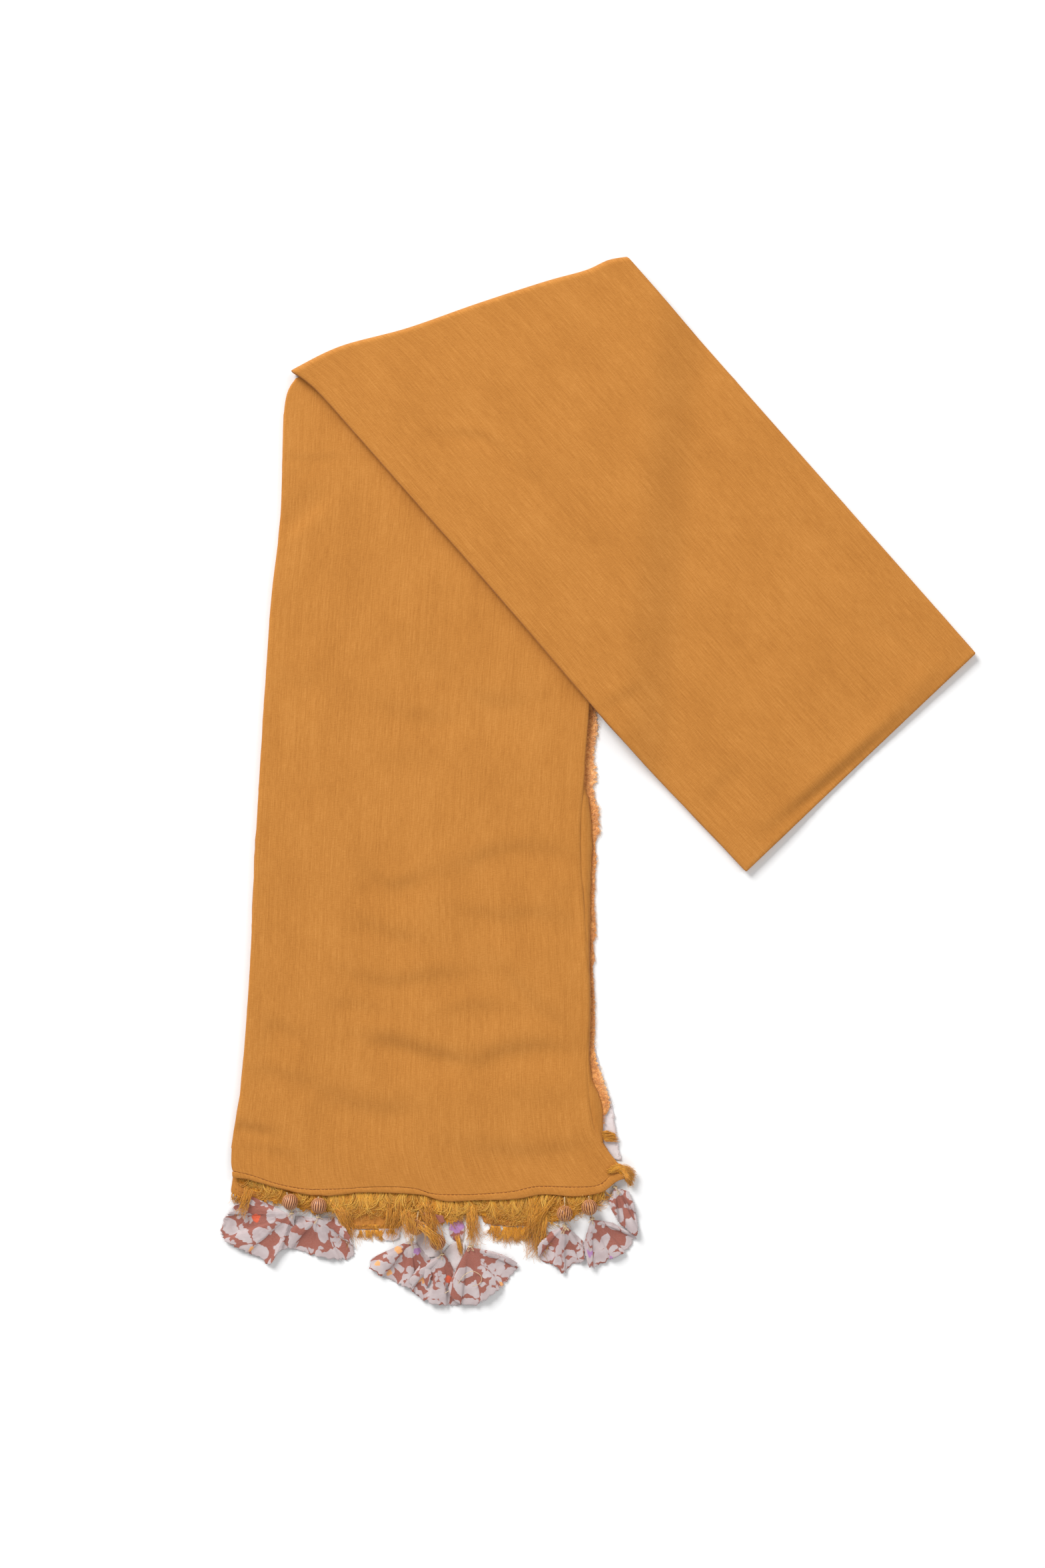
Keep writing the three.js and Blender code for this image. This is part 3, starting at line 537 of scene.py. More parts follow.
def waving(waves, x, y):
    return sum(high * ripple(x, y, wide, seed, stretch) for high, wide, seed, stretch in waves)


def underHeight(u, v, x, y):
    # the middle of the lower leg's top ply
    edge = np.minimum(u, 1 - u) * leg["width"]
    fromHem = v * leg["underLength"]
    height = leg["top"] - leg["underCreasing"] * creased(underCreases, x, y) - turnedDown(edge)
    height -= leg["hemDrop"] * (1 - smooth(fromHem, 0, leg["hemFall"]))
    height += waving(underWaves, x, y)
    pucker = leg["pucker"] * np.exp(-((fromHem / leg["puckerWave"]) ** 2))
    return height + pucker * ripple(x, 0 * y, leg["puckerWave"], 5)


def overBase(x, y):
    (lowX, lowY), (highX, highY) = underRight[-1], slantFold[-1]
    legEdge = lowX + (highX - lowX) * (y - lowY) / (highY - lowY)
    fall = smooth(x, legEdge + leg["rampStart"], legEdge + leg["rampStart"] + leg["rampWidth"])
    return leg["crossing"] * (1 - fall)


def overHeight(u, v, x, y):
    side = np.minimum(u, 1 - u) * leg["width"]
    edge = np.minimum(side, (1 - v) * leg["overLength"])
    height = overBase(x, y) + leg["top"] - leg["overCreasing"] * creased(overCreases, x, y)
    return height - turnedDown(edge) + waving(overWaves, x, y)


def surface(sides, us, vs, height):
    place = plan(us=us, vs=vs, **sides)
    x, y = place[..., 0], place[..., 1]
    u, v = np.broadcast_arrays(us[:, None], vs[None])
    return np.stack([x, y, height(u, v, x, y)], -1)


def thinShell(middle, thickness):
    # a ply round a grid of middle points
    across, away = np.gradient(middle, axis=0), np.gradient(middle, axis=1)
    normal = np.cross(across, away)
    normal /= np.linalg.norm(normal, axis=2, keepdims=True)
    return middle - normal * thickness / 2, middle + normal * thickness / 2


def thinSheet(place, z, thickness):
    # a thin closed sheet over a grid of x, y places at levels z, mapped by its places
    low, high = thinShell(np.dstack([place, z]), thickness)
    return shell(low, high, place, loops=1)


def clothMap(us, vs, width, length):
    return np.stack(np.broadcast_arrays(us[:, None] * width, vs[None] * length), -1)


def lowerLegCloth():
    us, vs = stations(leg["width"], leg["pitch"]), stations(leg["underLength"], leg["pitch"])
    low, high = thinShell(surface(underSides, us, vs, underHeight), leg["ply"])
    points, faces, uv = shell(low, high, clothMap(us, vs, leg["width"], leg["underLength"]))
    return makePiece("lower_leg_cloth", points, faces, materials["voile"], ["under_leg_cloth"], uv)


def outOfFold(us, inside):
    # unit vectors out over the slanting fold, in plan
    outward = surface(overSides, us, np.array([0.0]), overHeight)[:, 0] - inside
    outward[:, 2] = 0
    return outward / np.linalg.norm(outward, axis=1)[:, None]


def halfTurn(inside, outward, reach, bottom, top, steps, count):
    # the first rows of a half turn in so many steps, from its bottom round and up to its top
    rows = []
    for k in range(count):
        angle = math.radians(180 * k / steps - 90)
        rise = 0.5 + 0.5 * math.sin(angle)
        row = inside + outward * reach * math.cos(angle)
        row[:, 2] = bottom * (1 - rise) + top * rise
        rows.append(row)
    return np.stack(rows, 1)


def upperLegCloth():
    # up round the slanting fold, from the surface it lies on, and flat from there
    us, vs = stations(leg["width"], leg["pitch"]), stations(leg["overLength"], leg["pitch"])
    turn = leg["foldRadius"] / leg["overLength"]
    flat = surface(overSides, us, np.concatenate([[turn], vs[vs > turn + 0.002]]), overHeight)
    start, half = flat[:, 0], leg["ply"] / 2
    turned = halfTurn(start, outOfFold(us, start), leg["foldRadius"] - half, half, start[:, 2],
                      leg["turnSteps"], leg["turnSteps"])
    middle = np.concatenate([turned, flat], 1)
    low, high = thinShell(middle, leg["ply"])
    points, faces, uv = shell(low, high, clothMap(us, travelled(middle[len(us) // 2]), leg["width"], 1))
    return makePiece("upper_leg_cloth", points, faces, materials["voile"], ["over_leg_cloth"], uv)


lowerCloth, upperCloth = lowerLegCloth(), upperLegCloth()
print("cloth made:", len(lowerCloth.data.polygons), len(upperCloth.data.polygons))


# The hidden plies: layers with rounded edges, under each leg's top ply

plies = {
    "layers": 3,
    "share": 0.93,  # of its room that a layer fills
    "inset": 0.7,  # from the outline
    "deeper": 0.35,  # each lower layer's further inset
    "uneven": 0.5,
    "sideWave": 38, "endWave": 40,
    "nested": 1.06, "raised": 1.1, "thin": 0.8,  # the turns inside the fold, as shares of a ply
    "noseInset": 14,  # the lower leg's plies end this far inside the stitched line
    "pitch": 11.0,
    "close": (0.0, 0.3, 0.9, 1.8),  # the stations just inside each end
    "seam": 0.3,
    "turnSteps": 9,
}


def joined(parts):
    # several closed shells as one mesh
    points, faces, maps, start = [], [], [], 0
    for made in parts:
        points.append(made[0])
        faces += [[k + start for k in face] for face in made[1]]
        maps.append(made[2])
        start += len(made[0])
    return np.concatenate(points), faces, np.concatenate(maps)


def pileOfPlies(sides, base, height, length, vStart, vEnd, seed, ends):
    parts = []
    for k in range(plies["layers"]):
        us = stations(leg["width"], plies["pitch"], plies["close"])
        vs = vStart + (vEnd - vStart) * stations(length * (vEnd - vStart), plies["pitch"], plies["close"])
        inset = (plies["inset"] + plies["deeper"] * (plies["layers"] - 1 - k)) / leg["width"]
        u, v = np.broadcast_arrays(inset + us[:, None] * (1 - 2 * inset), vs[None])
        place = plan(us=inset + us * (1 - 2 * inset), vs=vs, **sides)
        x, y = place[..., 0].copy(), place[..., 1].copy()
        push = plies["uneven"] * ripple(0 * y, v * length, plies["sideWave"], seed + k)
        x += push * (2 * us[:, None] - 1) ** 9  # only beside the edges, and so is v**40 below
        if ends:
            push = plies["uneven"] * ripple(u * leg["width"], 0 * u, plies["endWave"], seed + 7 + k)
            y += push * v**40
        floor, top = base(x, y), height(u, v, x, y) - leg["ply"] / 2 - plies["seam"]
        room = (top - floor) / plies["layers"]
        low = floor + room * (k + (1 - plies["share"]) / 2)
        high = low + room * plies["share"]
        uv = clothMap(us, vs, leg["width"], length)
        parts.append(shell(np.dstack([x, y, low]), np.dstack([x, y, high]), uv))
    return parts


def innerTurns():
    # the plies inside the slanting fold, each turned round the next
    us, steps = stations(leg["width"], plies["pitch"], plies["close"]), plies["turnSteps"]
    turn = leg["foldRadius"] / leg["overLength"]
    inside = surface(overSides, us, np.array([turn]), overHeight)[:, 0]
    outward = outOfFold(us, inside)
    parts = []
    for k in (1, 2):
        reach = leg["foldRadius"] - leg["ply"] * (0.5 + plies["nested"] * k)
        bottom = leg["ply"] * (0.5 + plies["raised"] * k)
        top = inside[:, 2] - bottom + leg["ply"] / 2
        turned = halfTurn(inside, outward, reach, bottom, top, steps, steps + 1)
        low, high = thinShell(turned, plies["thin"] * leg["ply"])
        parts.append(shell(low, high, clothMap(us, np.linspace(0, 2 * reach, steps + 1), leg["width"], 1)))
    return parts


def lowerLegFolds():
    parts = pileOfPlies(
        underSides, lambda x, y: 0 * x, underHeight, leg["underLength"],
        plies["noseInset"] / leg["underLength"], 0.999, 20, False)
    points, faces, uv = joined(parts)
    return makePiece("lower_leg_folds", points, faces, materials["voile"], ["under_leg_folds"], uv)


def upperLegFolds():
    start = (leg["foldRadius"] + leg["ply"]) / leg["overLength"]
    end = 1 - plies["inset"] / leg["overLength"]
    parts = pileOfPlies(overSides, overBase, overHeight, leg["overLength"], start, end, 30, True)
    points, faces, uv = joined(parts + innerTurns())
    return makePiece("upper_leg_folds", points, faces, materials["voile"], ["over_leg_folds"], uv)


# a hidden ply's edge where it shows beside the top one: y, and how far out it lies
secondEdge = [
    (-3, 0.8), (-11, 4.0), (-24, 6.4), (-39, 7.4), (-53, 6.1), (-66, 4.8), (-95, 2.5), (-116, 0.9),
    (-137, 0.8), (-172, 0.9), (-187, 2.6), (-193, 5.2), (-199, 7.0), (-205, 7.5), (-215, 6.0),
    (-220, 3.4), (-225, 0.8),
]


def sideEdge(y):
    # the top ply's x at the frayed side, and the hidden ply's
    line = alongCurve(underRight, np.linspace(0, 1, 300))
    edge = np.interp(y, line[:, 1], line[:, 0])
    return edge, edge + fromRows(secondEdge, y, left=0.0, right=0.0)


second = {
    "rows": 110, "level": 4.0, "uneven": 0.12, "fall": 2.1, "wander": 0.15,
    "bulge": 0.25, "mapShift": 300,
}


def secondPly():
    ys = np.linspace(secondEdge[-1][0], secondEdge[0][0], second["rows"])
    inner, outer = sideEdge(ys)
    across = np.array([0.0, 0.1, 0.3, 0.5, 0.7, 0.9, 1.0])
    x = inner[:, None] + (outer - inner)[:, None] * across
    x += second["wander"] * ripple(0 * ys, ys, 7, 46)[:, None] * across
    y = ys[:, None] + 0 * x
    z = second["level"] + second["uneven"] * ripple(x, y, 20, 45) - second["fall"] * across**3
    low, high = thinShell(np.dstack([x, y, z]), leg["ply"])
    points, faces, uv = shell(low, high, np.dstack([x, y]) + (second["mapShift"], 0), second["bulge"])
    return makePiece("lower_leg_second_ply", points, faces, materials["voile"], (), uv)


lowerFolds, upperFolds, hiddenPly = lowerLegFolds(), upperLegFolds(), secondPly()
print("folds made")


# The hems and their stitches

hem = {
    "thickness": 1.3, "lowThickness": 1.0, "seam": 0.75, "tuck": 8, "pitch": 1.6,
    "pucker": 0.10, "puckerWave": 5,
    "stitched": 4.1, "pulledIn": 0.16, "pulledWidth": 0.7,  # stitched so far from its edge
    "rim": (0, 0.35, 0.9), "rimWidth": 1.0, "rimRise": 0.15, "rimFall": 0.25,
    "rowsFrom": 1.7, "rowPitch": 1.1,
}
hem["topBottom"] = leg["top"] - leg["hemDrop"] - 0.7
secondHemEdge = [
    (-229.2, -256.5), (-222.3, -260.0), (-207.7, -261.2), (-200.2, -258.3), (-195.2, -252.9),
    (-166.0, -254.1), (-140.9, -253.3), (-107.6, -255.0), (-82.6, -258.3), (-53.4, -262.5),
    (-40.9, -260.8), (-26.3, -260.8), (-12.5, -260.8), (-1.3, -257.5),
]
thirdHemEdge = [
    (-166.8, -261.7), (-155.1, -277.5), (-140.9, -279.2), (-124.3, -278.4), (-119.3, -271.7),
    (-99.2, -270.0), (-74.2, -270.9), (-69.2, -275.9), (-40.9, -276.7), (-35.9, -268.0),
    (-28.4, -260.5),
]
thirdHemTop = [(-166.8, -248.0), (-28.4, -248.0)]


def hemBand(name, nodes, edge, inner, thickness, bottom, seed):
    # a band of turned cloth: round at its edge, and pulled in where it is stitched
    span = float(stepsOf(alongCurve(edge, np.linspace(0, 1, 60))).sum())
    shares = np.linspace(0, 1, round(span / hem["pitch"]) + 1)
    lower, upper = alongCurve(edge, shares), alongCurve(inner, shares)
    depth = float(np.linalg.norm(upper - lower, axis=1).mean())
    even = np.linspace(hem["rowsFrom"], depth, max(4, round(depth / hem["rowPitch"])))
    across = np.unique(np.concatenate([hem["rim"], even])) / depth
    place = betweenCurves(lower, upper, across)
    fromEdge = across[None] * depth
    rounded = 1 - smooth(fromEdge, 0, hem["rimWidth"])
    along = shares[:, None] * span + 0 * fromEdge
    waves = hem["pucker"] * ripple(along, 3 * fromEdge, hem["puckerWave"], seed)
    stitched = np.exp(-(((fromEdge - hem["stitched"]) / hem["pulledWidth"]) ** 2))
    base = bottom(place[..., 0])
    high = base + thickness - hem["rimFall"] * rounded - hem["pulledIn"] * stitched + waves
    low = base + hem["rimRise"] * rounded
    points, faces, uv = shell(np.dstack([place, low]), np.dstack([place, high]),
                              clothMap(shares, across, span, depth))
    return makePiece(name, points, faces, materials["voile"], nodes, uv)


def secondHemBottom(x):
    return 0.1 + 1.2 * smooth(x, -185, -170)


topSeam, secondSeam = beside(stitchLine, -hem["seam"], count=60), beside(stitchLine, hem["tuck"], 0, 0.9)
topHem = hemBand("hem_top", ["top_hem"], hemEdge, topSeam, hem["thickness"],
                 lambda x: hem["topBottom"] + 0 * x, 41)
secondHem = hemBand("hem_second", ["second_hem"], secondHemEdge, secondSeam, hem["lowThickness"],
                    secondHemBottom, 42)
thirdHem = hemBand("hem_third", ["third_hem"], thirdHemEdge, thirdHemTop, hem["lowThickness"],
                   lambda x: 0 * x, 43)

stitch = {
    "length": 1.8, "gap": 0.75, "radius": 0.19, "sink": 0.22, "colour": (0.31, 0.10, 0.02),
    "uneven": 0.06, "turned": 0.09,  # how far each strays: a share of the pitch, and an angle in radians
}
stitchRows = [
    {"name": "stitches_top", "rows": beside(stitchLine, -0.35), "low": 0.0, "high": 0.955, "z": 4.98},
    {"name": "stitches_second", "rows": beside(secondHemEdge, 3.2), "low": 0.0, "high": 0.17, "z": 1.08},
]


def makePlainThread(name, colour, shade, roughness, sheen=0.0):
    # a thread of one colour, and a darker shade of it in places
    material, tree, shader = newMaterial(name, roughness, sheen=sheen)
    place = node(tree, "TexCoord").outputs["Object"]
    tone = remap(tree, noise(tree, place, 1, 900), 0.3, 0.7)
    dark = tuple(shade * value for value in colour)
    tree.links.new(blendColours(tree, tone, dark, colour), shader.inputs["Base Color"])
    return material


def modelStitch():
    # one stitch, lying along X: a short thread whose ends sink into the cloth
    bpy.ops.object.select_all(action="DESELECT")
    bpy.ops.mesh.primitive_cylinder_add(vertices=6, radius=1, depth=2, rotation=(0, math.pi / 2, 0))
    piece = bpy.context.object
    bpy.ops.object.transform_apply(location=False, rotation=True, scale=False)
    bpy.ops.object.mode_set(mode="EDIT")
    bpy.ops.mesh.select_all(action="SELECT")
    bpy.ops.mesh.bevel(offset=0.45, segments=2)
    bpy.ops.object.mode_set(mode="OBJECT")
    points = np.array([vertex.co[:] for vertex in piece.data.vertices])
    faces = [list(face.vertices) for face in piece.data.polygons]
    bpy.data.objects.remove(piece)
    points[:, 0] *= stitch["length"] / 2
    points[:, 1:] *= stitch["radius"]
    points[:, 2] -= stitch["sink"] * (points[:, 0] / (stitch["length"] / 2)) ** 2
    return points, faces


def sewRow(row, shape):
    points, faces = shape
    line = alongCurve(row["rows"], np.linspace(row["low"], row["high"], 400))
    run, pitch = travelled(line), stitch["length"] + stitch["gap"]
    placeAt = lambda at: [np.interp(at, run, column) for column in line.T]
    parts = []
    for k in range(int(run[-1] / pitch)):
        at = (k + 0.5 + dice.uniform(-stitch["uneven"], stitch["uneven"])) * pitch
        (x, y), (nextX, nextY) = placeAt(at), placeAt(at + 0.5)
        turn = math.atan2(nextY - y, nextX - x) + dice.uniform(-stitch["turned"], stitch["turned"])
        c, s = math.cos(turn), math.sin(turn)
        placed = np.stack([x + points[:, 0] * c - points[:, 1] * s,
                           y + points[:, 0] * s + points[:, 1] * c, row["z"] + points[:, 2]], -1)
        parts.append((placed, faces, placed[:, :2]))
    points, faces, _ = joined(parts)
    return makePiece(row["name"], points, faces, materials["stitches"])


materials["stitches"] = makePlainThread("sewing_thread", stitch["colour"], 0.6, 0.7)
stitchShape = modelStitch()
stitches = [sewRow(row, stitchShape) for row in stitchRows]
print("hems sewn")


# Threads: the fringes below the hems, and the frayed edges

threadSteps = 8
# the fringe's tones run from dark to light: partly the threads' own uneven colour, and partly painted shade,
# the darker tones going to threads that lie lower
fringeColours = {"dark": (0.48, 0.178, 0.010), "middle": (0.76, 0.330, 0.022), "light": (0.92, 0.54, 0.085)}
frayColours = {"dark": (0.62, 0.25, 0.055), "middle": (0.88, 0.42, 0.135), "light": (0.99, 0.70, 0.42)}


def makeThread(name, colours):
    material, tree, shader = newMaterial(name, 0.72, sheen=0.15)
    tone = node(tree, "Attribute", attribute_name="tone").outputs["Fac"]
    place = node(tree, "TexCoord").outputs["Object"]
    tone = calculate(tree, "ADD", tone, remap(tree, noise(tree, place, 1, 1300), 0.3, 0.7, -0.12, 0.12))
    colour = blendColours(tree, remap(tree, tone, 0, 0.5), colours["dark"], colours["middle"])
    colour = blendColours(tree, remap(tree, tone, 0.5, 1), colour, colours["light"])
    tree.links.new(colour, shader.inputs["Base Color"])
    return material


materials["fringe"] = makeThread("fringe_thread", fringeColours)
materials["fray"] = makeThread("frayed_thread", frayColours)


def bunches(line, count, mostly, spread):
    # roots along a line of points, in bunches: each thread's root, and a bunch's number for each
    middle = np.sort(dice.uniform(0, 1, count))
    amounts = dice.integers(max(1, mostly - 3), mostly + 4, count)
    bunch = np.repeat(np.arange(count), amounts)
    share = np.clip(middle[bunch] + dice.normal(0, spread, len(bunch)), 0, 1)
    return alongCurve(line, share), bunch


def grow(roots, heading, reach, curl, sway, low, high, steps=threadSteps):
    # paths that leave their roots along a heading and turn by a whole curl, all in degrees
    share = np.linspace(0, 1, steps)[None]
    count = len(roots)
    phase = dice.uniform(0, 1, (count, 1))
    turn = heading[:, None] + curl[:, None] * share**1.7  # most of the curl comes near the end
    turn = np.radians(turn + sway[:, None] * np.sin(2 * math.pi * (share * 1.3 + phase)) * share)
    run = np.stack([np.cos(turn), np.sin(turn)], -1)[:, :-1] * (reach / (steps - 1))[:, None, None]
    places = roots[:, None] + np.concatenate([np.zeros((count, 1, 2)), np.cumsum(run, axis=1)], axis=1)
    z = high[:, None] + (low - high)[:, None] * smooth(share, 0.15, 0.85)
    return np.concatenate([places, z[..., None]], -1)


def threadPiece(name, paths, radii, taper, tones, nodes=()):
    # all the threads of one piece, each with its own tone
    points, faces = tubes(paths, radii, taper)
    fields = {"tone": perThread(tones, threadSteps)}
    return makePiece(name, points, faces, materials["fringe"], nodes, fields=fields)


# along the top hem: at x, how long the fringe is, its lean to the right and its lowest level
fringeRows = [
    (-224, 7, 0, 1.6), (-214, 12, 4, 1.7), (-205, 15, 4, 1.8), (-188, 16, 8, 1.8), (-170, 18, 14, 2.4),
    (-150, 20, 8, 2.4), (-134, 23, -4, 2.2), (-118, 26, -10, 2.0), (-104, 26, 4, 2.0), (-92, 18, 14, 2.3),
    (-84, 17, 30, 2.4), (-72, 17, 26, 2.5), (-60, 19, 12, 2.4), (-48, 24, 6, 2.2), (-38, 29, -12, 1.5),
    (-30, 26, -10, 1.5), (-22, 20, -4, 1.6), (-14, 18, 2, 1.6), (-4, 16, 4, 1.8), (4, 12, 8, 2.2),
]
fringe = {
    "inset": 2.4,  # of the roots, inside the hem's edge
    "from": 0.01, "to": 0.94,  # shares of the hem
    "spread": 0.0011,  # of a bunch's roots, as a share of the hem
    "lean": 14, "leanWave": 9,
    "reach": (0.62, 1.12),  # of the rows above, for each bunch
    "curl": 90, "curlWave": 6,
    "hook": (140, 330), "hookReach": 1.15, "hooksLeft": 0.6,
    "sway": (8, 60),
    "top": 2.5, "rise": 0.95,  # the roots' level, and how much higher the top bunches start
    "drop": 0.9, "float": 1.1,  # the ends below the rows' level, and how much higher the top bunches end
    "floor": 0.25,
    "taper": 0.45,
}


def topFringe(name, nodes, amount, seed, hooks, radius, under, mostly=6, paintedLight=0.0):
    # a curly fringe in bunches: the share of them that hook round, and how far under the others they lie; its
    # tone is partly painted shade, darker for bunches that lie lower, and the extra lightness passed in
    # paints light on those that lie on top
    line = beside(hemEdge, fringe["inset"], fringe["from"], fringe["to"])
    roots, bunch = bunches(line, amount, mostly, fringe["spread"])
    count, threads = bunch[-1] + 1, len(bunch)
    x = roots[:, 0]
    each = lambda low, high: dice.uniform(low, high, count)[bunch]
    lean = fromRows(fringeRows, x, 2) + fringe["lean"] * ripple(x, 0, fringe["leanWave"], seed)
    lean = lean + each(-fringe["lean"], fringe["lean"]) + dice.normal(0, 5, threads)
    reach = fromRows(fringeRows, x, 1) * each(*fringe["reach"]) * dice.uniform(0.85, 1.05, threads)
    hooked = (dice.uniform(0, 1, count) < hooks)[bunch]
    side = np.where(dice.uniform(0, 1, count) < fringe["hooksLeft"], -1, 1)[bunch]
    curl = 80 * ripple(x, 0, fringe["curlWave"], seed + 1) + each(-fringe["curl"], fringe["curl"])
    curl = curl + dice.normal(0, 20, threads)
    curl = np.where(hooked, side * each(*fringe["hook"]) + dice.normal(0, 24, threads), curl)
    reach = np.where(hooked, reach * fringe["hookReach"], reach)
    level = each(0, 1)
    low = fromRows(fringeRows, x, 3) - fringe["drop"] + fringe["float"] * level
    low = low + dice.normal(0, 0.12, threads) - under
    high = fringe["top"] + fringe["rise"] * level + dice.normal(0, 0.08, threads) - under
    paths = grow(roots, lean - 90, reach, curl, dice.uniform(*fringe["sway"], threads),
                 np.maximum(low, fringe["floor"]), high)
    radii = dice.uniform(0.6, 1.0, threads) * radius
    # painted shade and light: the tone rises with each bunch's level, so bunches lower in the pile are darker
    # and the extra lightness paints the top ones lighter; the random parts are the threads' own uneven tone
    tones = 0.32 + paintedLight + 0.45 * level + each(-0.18, 0.34) + dice.normal(0, 0.08, threads)
    return threadPiece(name, paths, radii, fringe["taper"], np.clip(tones, 0, 1), nodes=nodes)


web = {
    "rows": 300, "from": 0.012, "to": 0.93, "inset": 1.2, "thickness": 0.3,
    "share": 0.66,  # of the fringe's length
    "level": 2.0, "sag": 0.7, "lumps": 0.3,
    "tone": 0.24, "mottle": 0.32,
}


def fringeWeb():
    # the matted threads close to the hem, as one thin uneven layer, longer and then shorter at the right
    start = beside(hemEdge, web["inset"], web["from"], web["to"], web["rows"])
    across, x = np.linspace(0, 1, 12), start[:, 0]
    east = 0.13 * smooth(x, -34, -24) - 0.5 * smooth(x, -17, -5)
    ragged = 0.1 * ripple(x, 0 * x, 6, 57) + 0.1 * ripple(x, 0 * x, 1.6, 56)
    length = fromRows(fringeRows, x, 1) * (web["share"] + east + ragged)
    lean = np.radians(fromRows(fringeRows, x, 2) - 90)
    run = (web["inset"] + length)[:, None] * across
    x, y = start[:, :1] + run * np.cos(lean)[:, None], start[:, 1:] + run * np.sin(lean)[:, None]
    fall = smooth(across, 0.3, 1)[None] * (3.2 - fromRows(fringeRows, x, 3))
    z = web["level"] - web["sag"] * fall + web["lumps"] * ripple(x, y, 2.2, 58, (1.0, 2.2))
    points, faces, uv = thinSheet(np.dstack([x, y]), z, web["thickness"])
    tones = web["tone"] + web["mottle"] * ripple(points[:, 0], points[:, 1], 1.3, 59, (1.0, 4.0))
    return makePiece("fringe_web", points, faces, materials["fringe"], (), uv,
                     {"tone": np.clip(tones, 0, 1)})


# single locks, with the names of their columns: high is a lock's level at its root, and low at its end
lockColumns = ("at", "heading", "reach", "curl", "count", "width", "high", "low")
locks = [
    ((-219, -257), -106, 16, 10, 70, 6, 3.6, 4.6),
    ((-163, -264), -60, 26, -26, 150, 8, 2.2, 0.9),
    ((-126, -266), -98, 19, -20, 110, 12, 2.6, 2.0),
    ((-115, -271), -92, 13, 30, 60, 9, 9.6, 9.8),
    ((-107, -268), -64, 22, -24, 120, 8, 3.0, 9.0),
    ((-87.5, -286), -74, 11, 8, 60, 3, 1.8, 1.2),
    ((-79, -268), -86, 22, 12, 130, 8, 2.2, 1.4),
    ((-37, -268), -98, 27, 16, 240, 13, 2.2, 0.8),
    ((-119, -270), -84, 16, 30, 70, 8, 9.8, 9.9),
    ((-108, -278), -42, 16, -20, 90, 5, 9.8, 10.2),
    ((-22, -262), -80, 14, 60, 14, 9, 10.2, 10.3),
    ((-7, -260), -84, 13, 20, 8, 7, 10.2, 10.3),
    ((-29, -262), -128, 24, 20, 70, 3, 3.4, 3.0),
]


def makeLocks():
    paths, tones = [], []
    for row in (dict(zip(lockColumns, values)) for values in locks):
        count = row["count"]
        heading = math.radians(row["heading"] + 90)
        across = np.array([math.cos(heading), math.sin(heading)])
        offset = dice.uniform(-0.5, 0.5, count) * row["width"]
        onward = np.array([-across[1], across[0]]) * -row["reach"]
        roots = np.array(row["at"]) + offset[:, None] * across + dice.uniform(-0.3, 0.25, (count, 1)) * onward
        headings = row["heading"] - 12 * offset / row["width"] + dice.normal(0, 5, count)
        reach = row["reach"] * dice.uniform(0.55, 1.05, count)
        curl = row["curl"] + 34 * ripple(offset, 0, 2.2, 95) + dice.normal(0, 18, count)
        lift = dice.uniform(0, 0.9, count)
        paths.append(grow(roots, headings, reach, curl, dice.uniform(10, 50, count),
                          row["low"] + lift, row["high"] + lift))
        # painted shade: threads that lie lower get a darker tone, and higher ones a lighter one
        tones.append(np.clip(0.25 + 0.4 * lift + dice.normal(0, 0.16, count), 0, 1))
    paths, tones = np.concatenate(paths), np.concatenate(tones)
    return threadPiece("fringe_threads_locks", paths, dice.uniform(0.07, 0.17, len(paths)), 0.5, tones)


lowFringe = {
    "mostly": 5, "spread": 0.004, "lean": 16, "leanWave": 5, "reachWave": 7, "ragged": 0.3,
    "reach": (0.5, 1.1), "curl": 90, "sway": 40, "floor": 0.25, "float": 0.5,
    "radius": (0.10, 0.18), "taper": 0.5,
}


def hemThreads(name, nodes, rows, low, high, amount, length, level, lean, inset, seed):
    # a short ragged fringe along part of a low hem
    edge = beside(rows, inset, low, high)
    roots, bunch = bunches(edge, amount, lowFringe["mostly"], lowFringe["spread"])
    count, threads = bunch[-1] + 1, len(bunch)
    x = roots[:, 0]
    each = lambda start, end: dice.uniform(start, end, count)[bunch]
    turn, curl = lowFringe["lean"], lowFringe["curl"]
    heading = lean - 90 + turn * ripple(x, 0, lowFringe["leanWave"], 60 + seed) + each(-turn, turn)
    heading = heading + dice.normal(0, 8, threads)
    reach = length * (1 + lowFringe["ragged"] * ripple(x, 0, lowFringe["reachWave"], 70 + seed))
    reach = reach * each(*lowFringe["reach"]) * dice.uniform(0.7, 1.0, threads)
    curl = each(-curl, curl) + dice.normal(0, 30, threads)
    high = level + each(-0.15, 0.25)
    sway = dice.uniform(0, lowFringe["sway"], threads)
    low = lowFringe["floor"] + lowFringe["float"] * each(0, 1)
    paths = grow(roots, heading, reach, curl, sway, low, high)
    radii = dice.uniform(*lowFringe["radius"], threads)
    tones = 0.3 + each(-0.2, 0.35) + dice.normal(0, 0.08, threads)
    return threadPiece(name, paths, radii, lowFringe["taper"], np.clip(tones, 0, 1), nodes=nodes)


fringeTop = topFringe("fringe_threads_top", ["fringe_top"], 560, 51, 0.6, 0.17, 0.0)
fringeUnder = topFringe("fringe_threads_under", [], 140, 55, 0.2, 0.15, 0.9)
# the curls lie on top, and their tone is raised by 0.16 as painted light
fringeCurls = topFringe("fringe_threads_curls", [], 150, 61, 0.9, 0.28, -0.35, 1, 0.16)
mattedFringe = fringeWeb()
lockPiece = makeLocks()
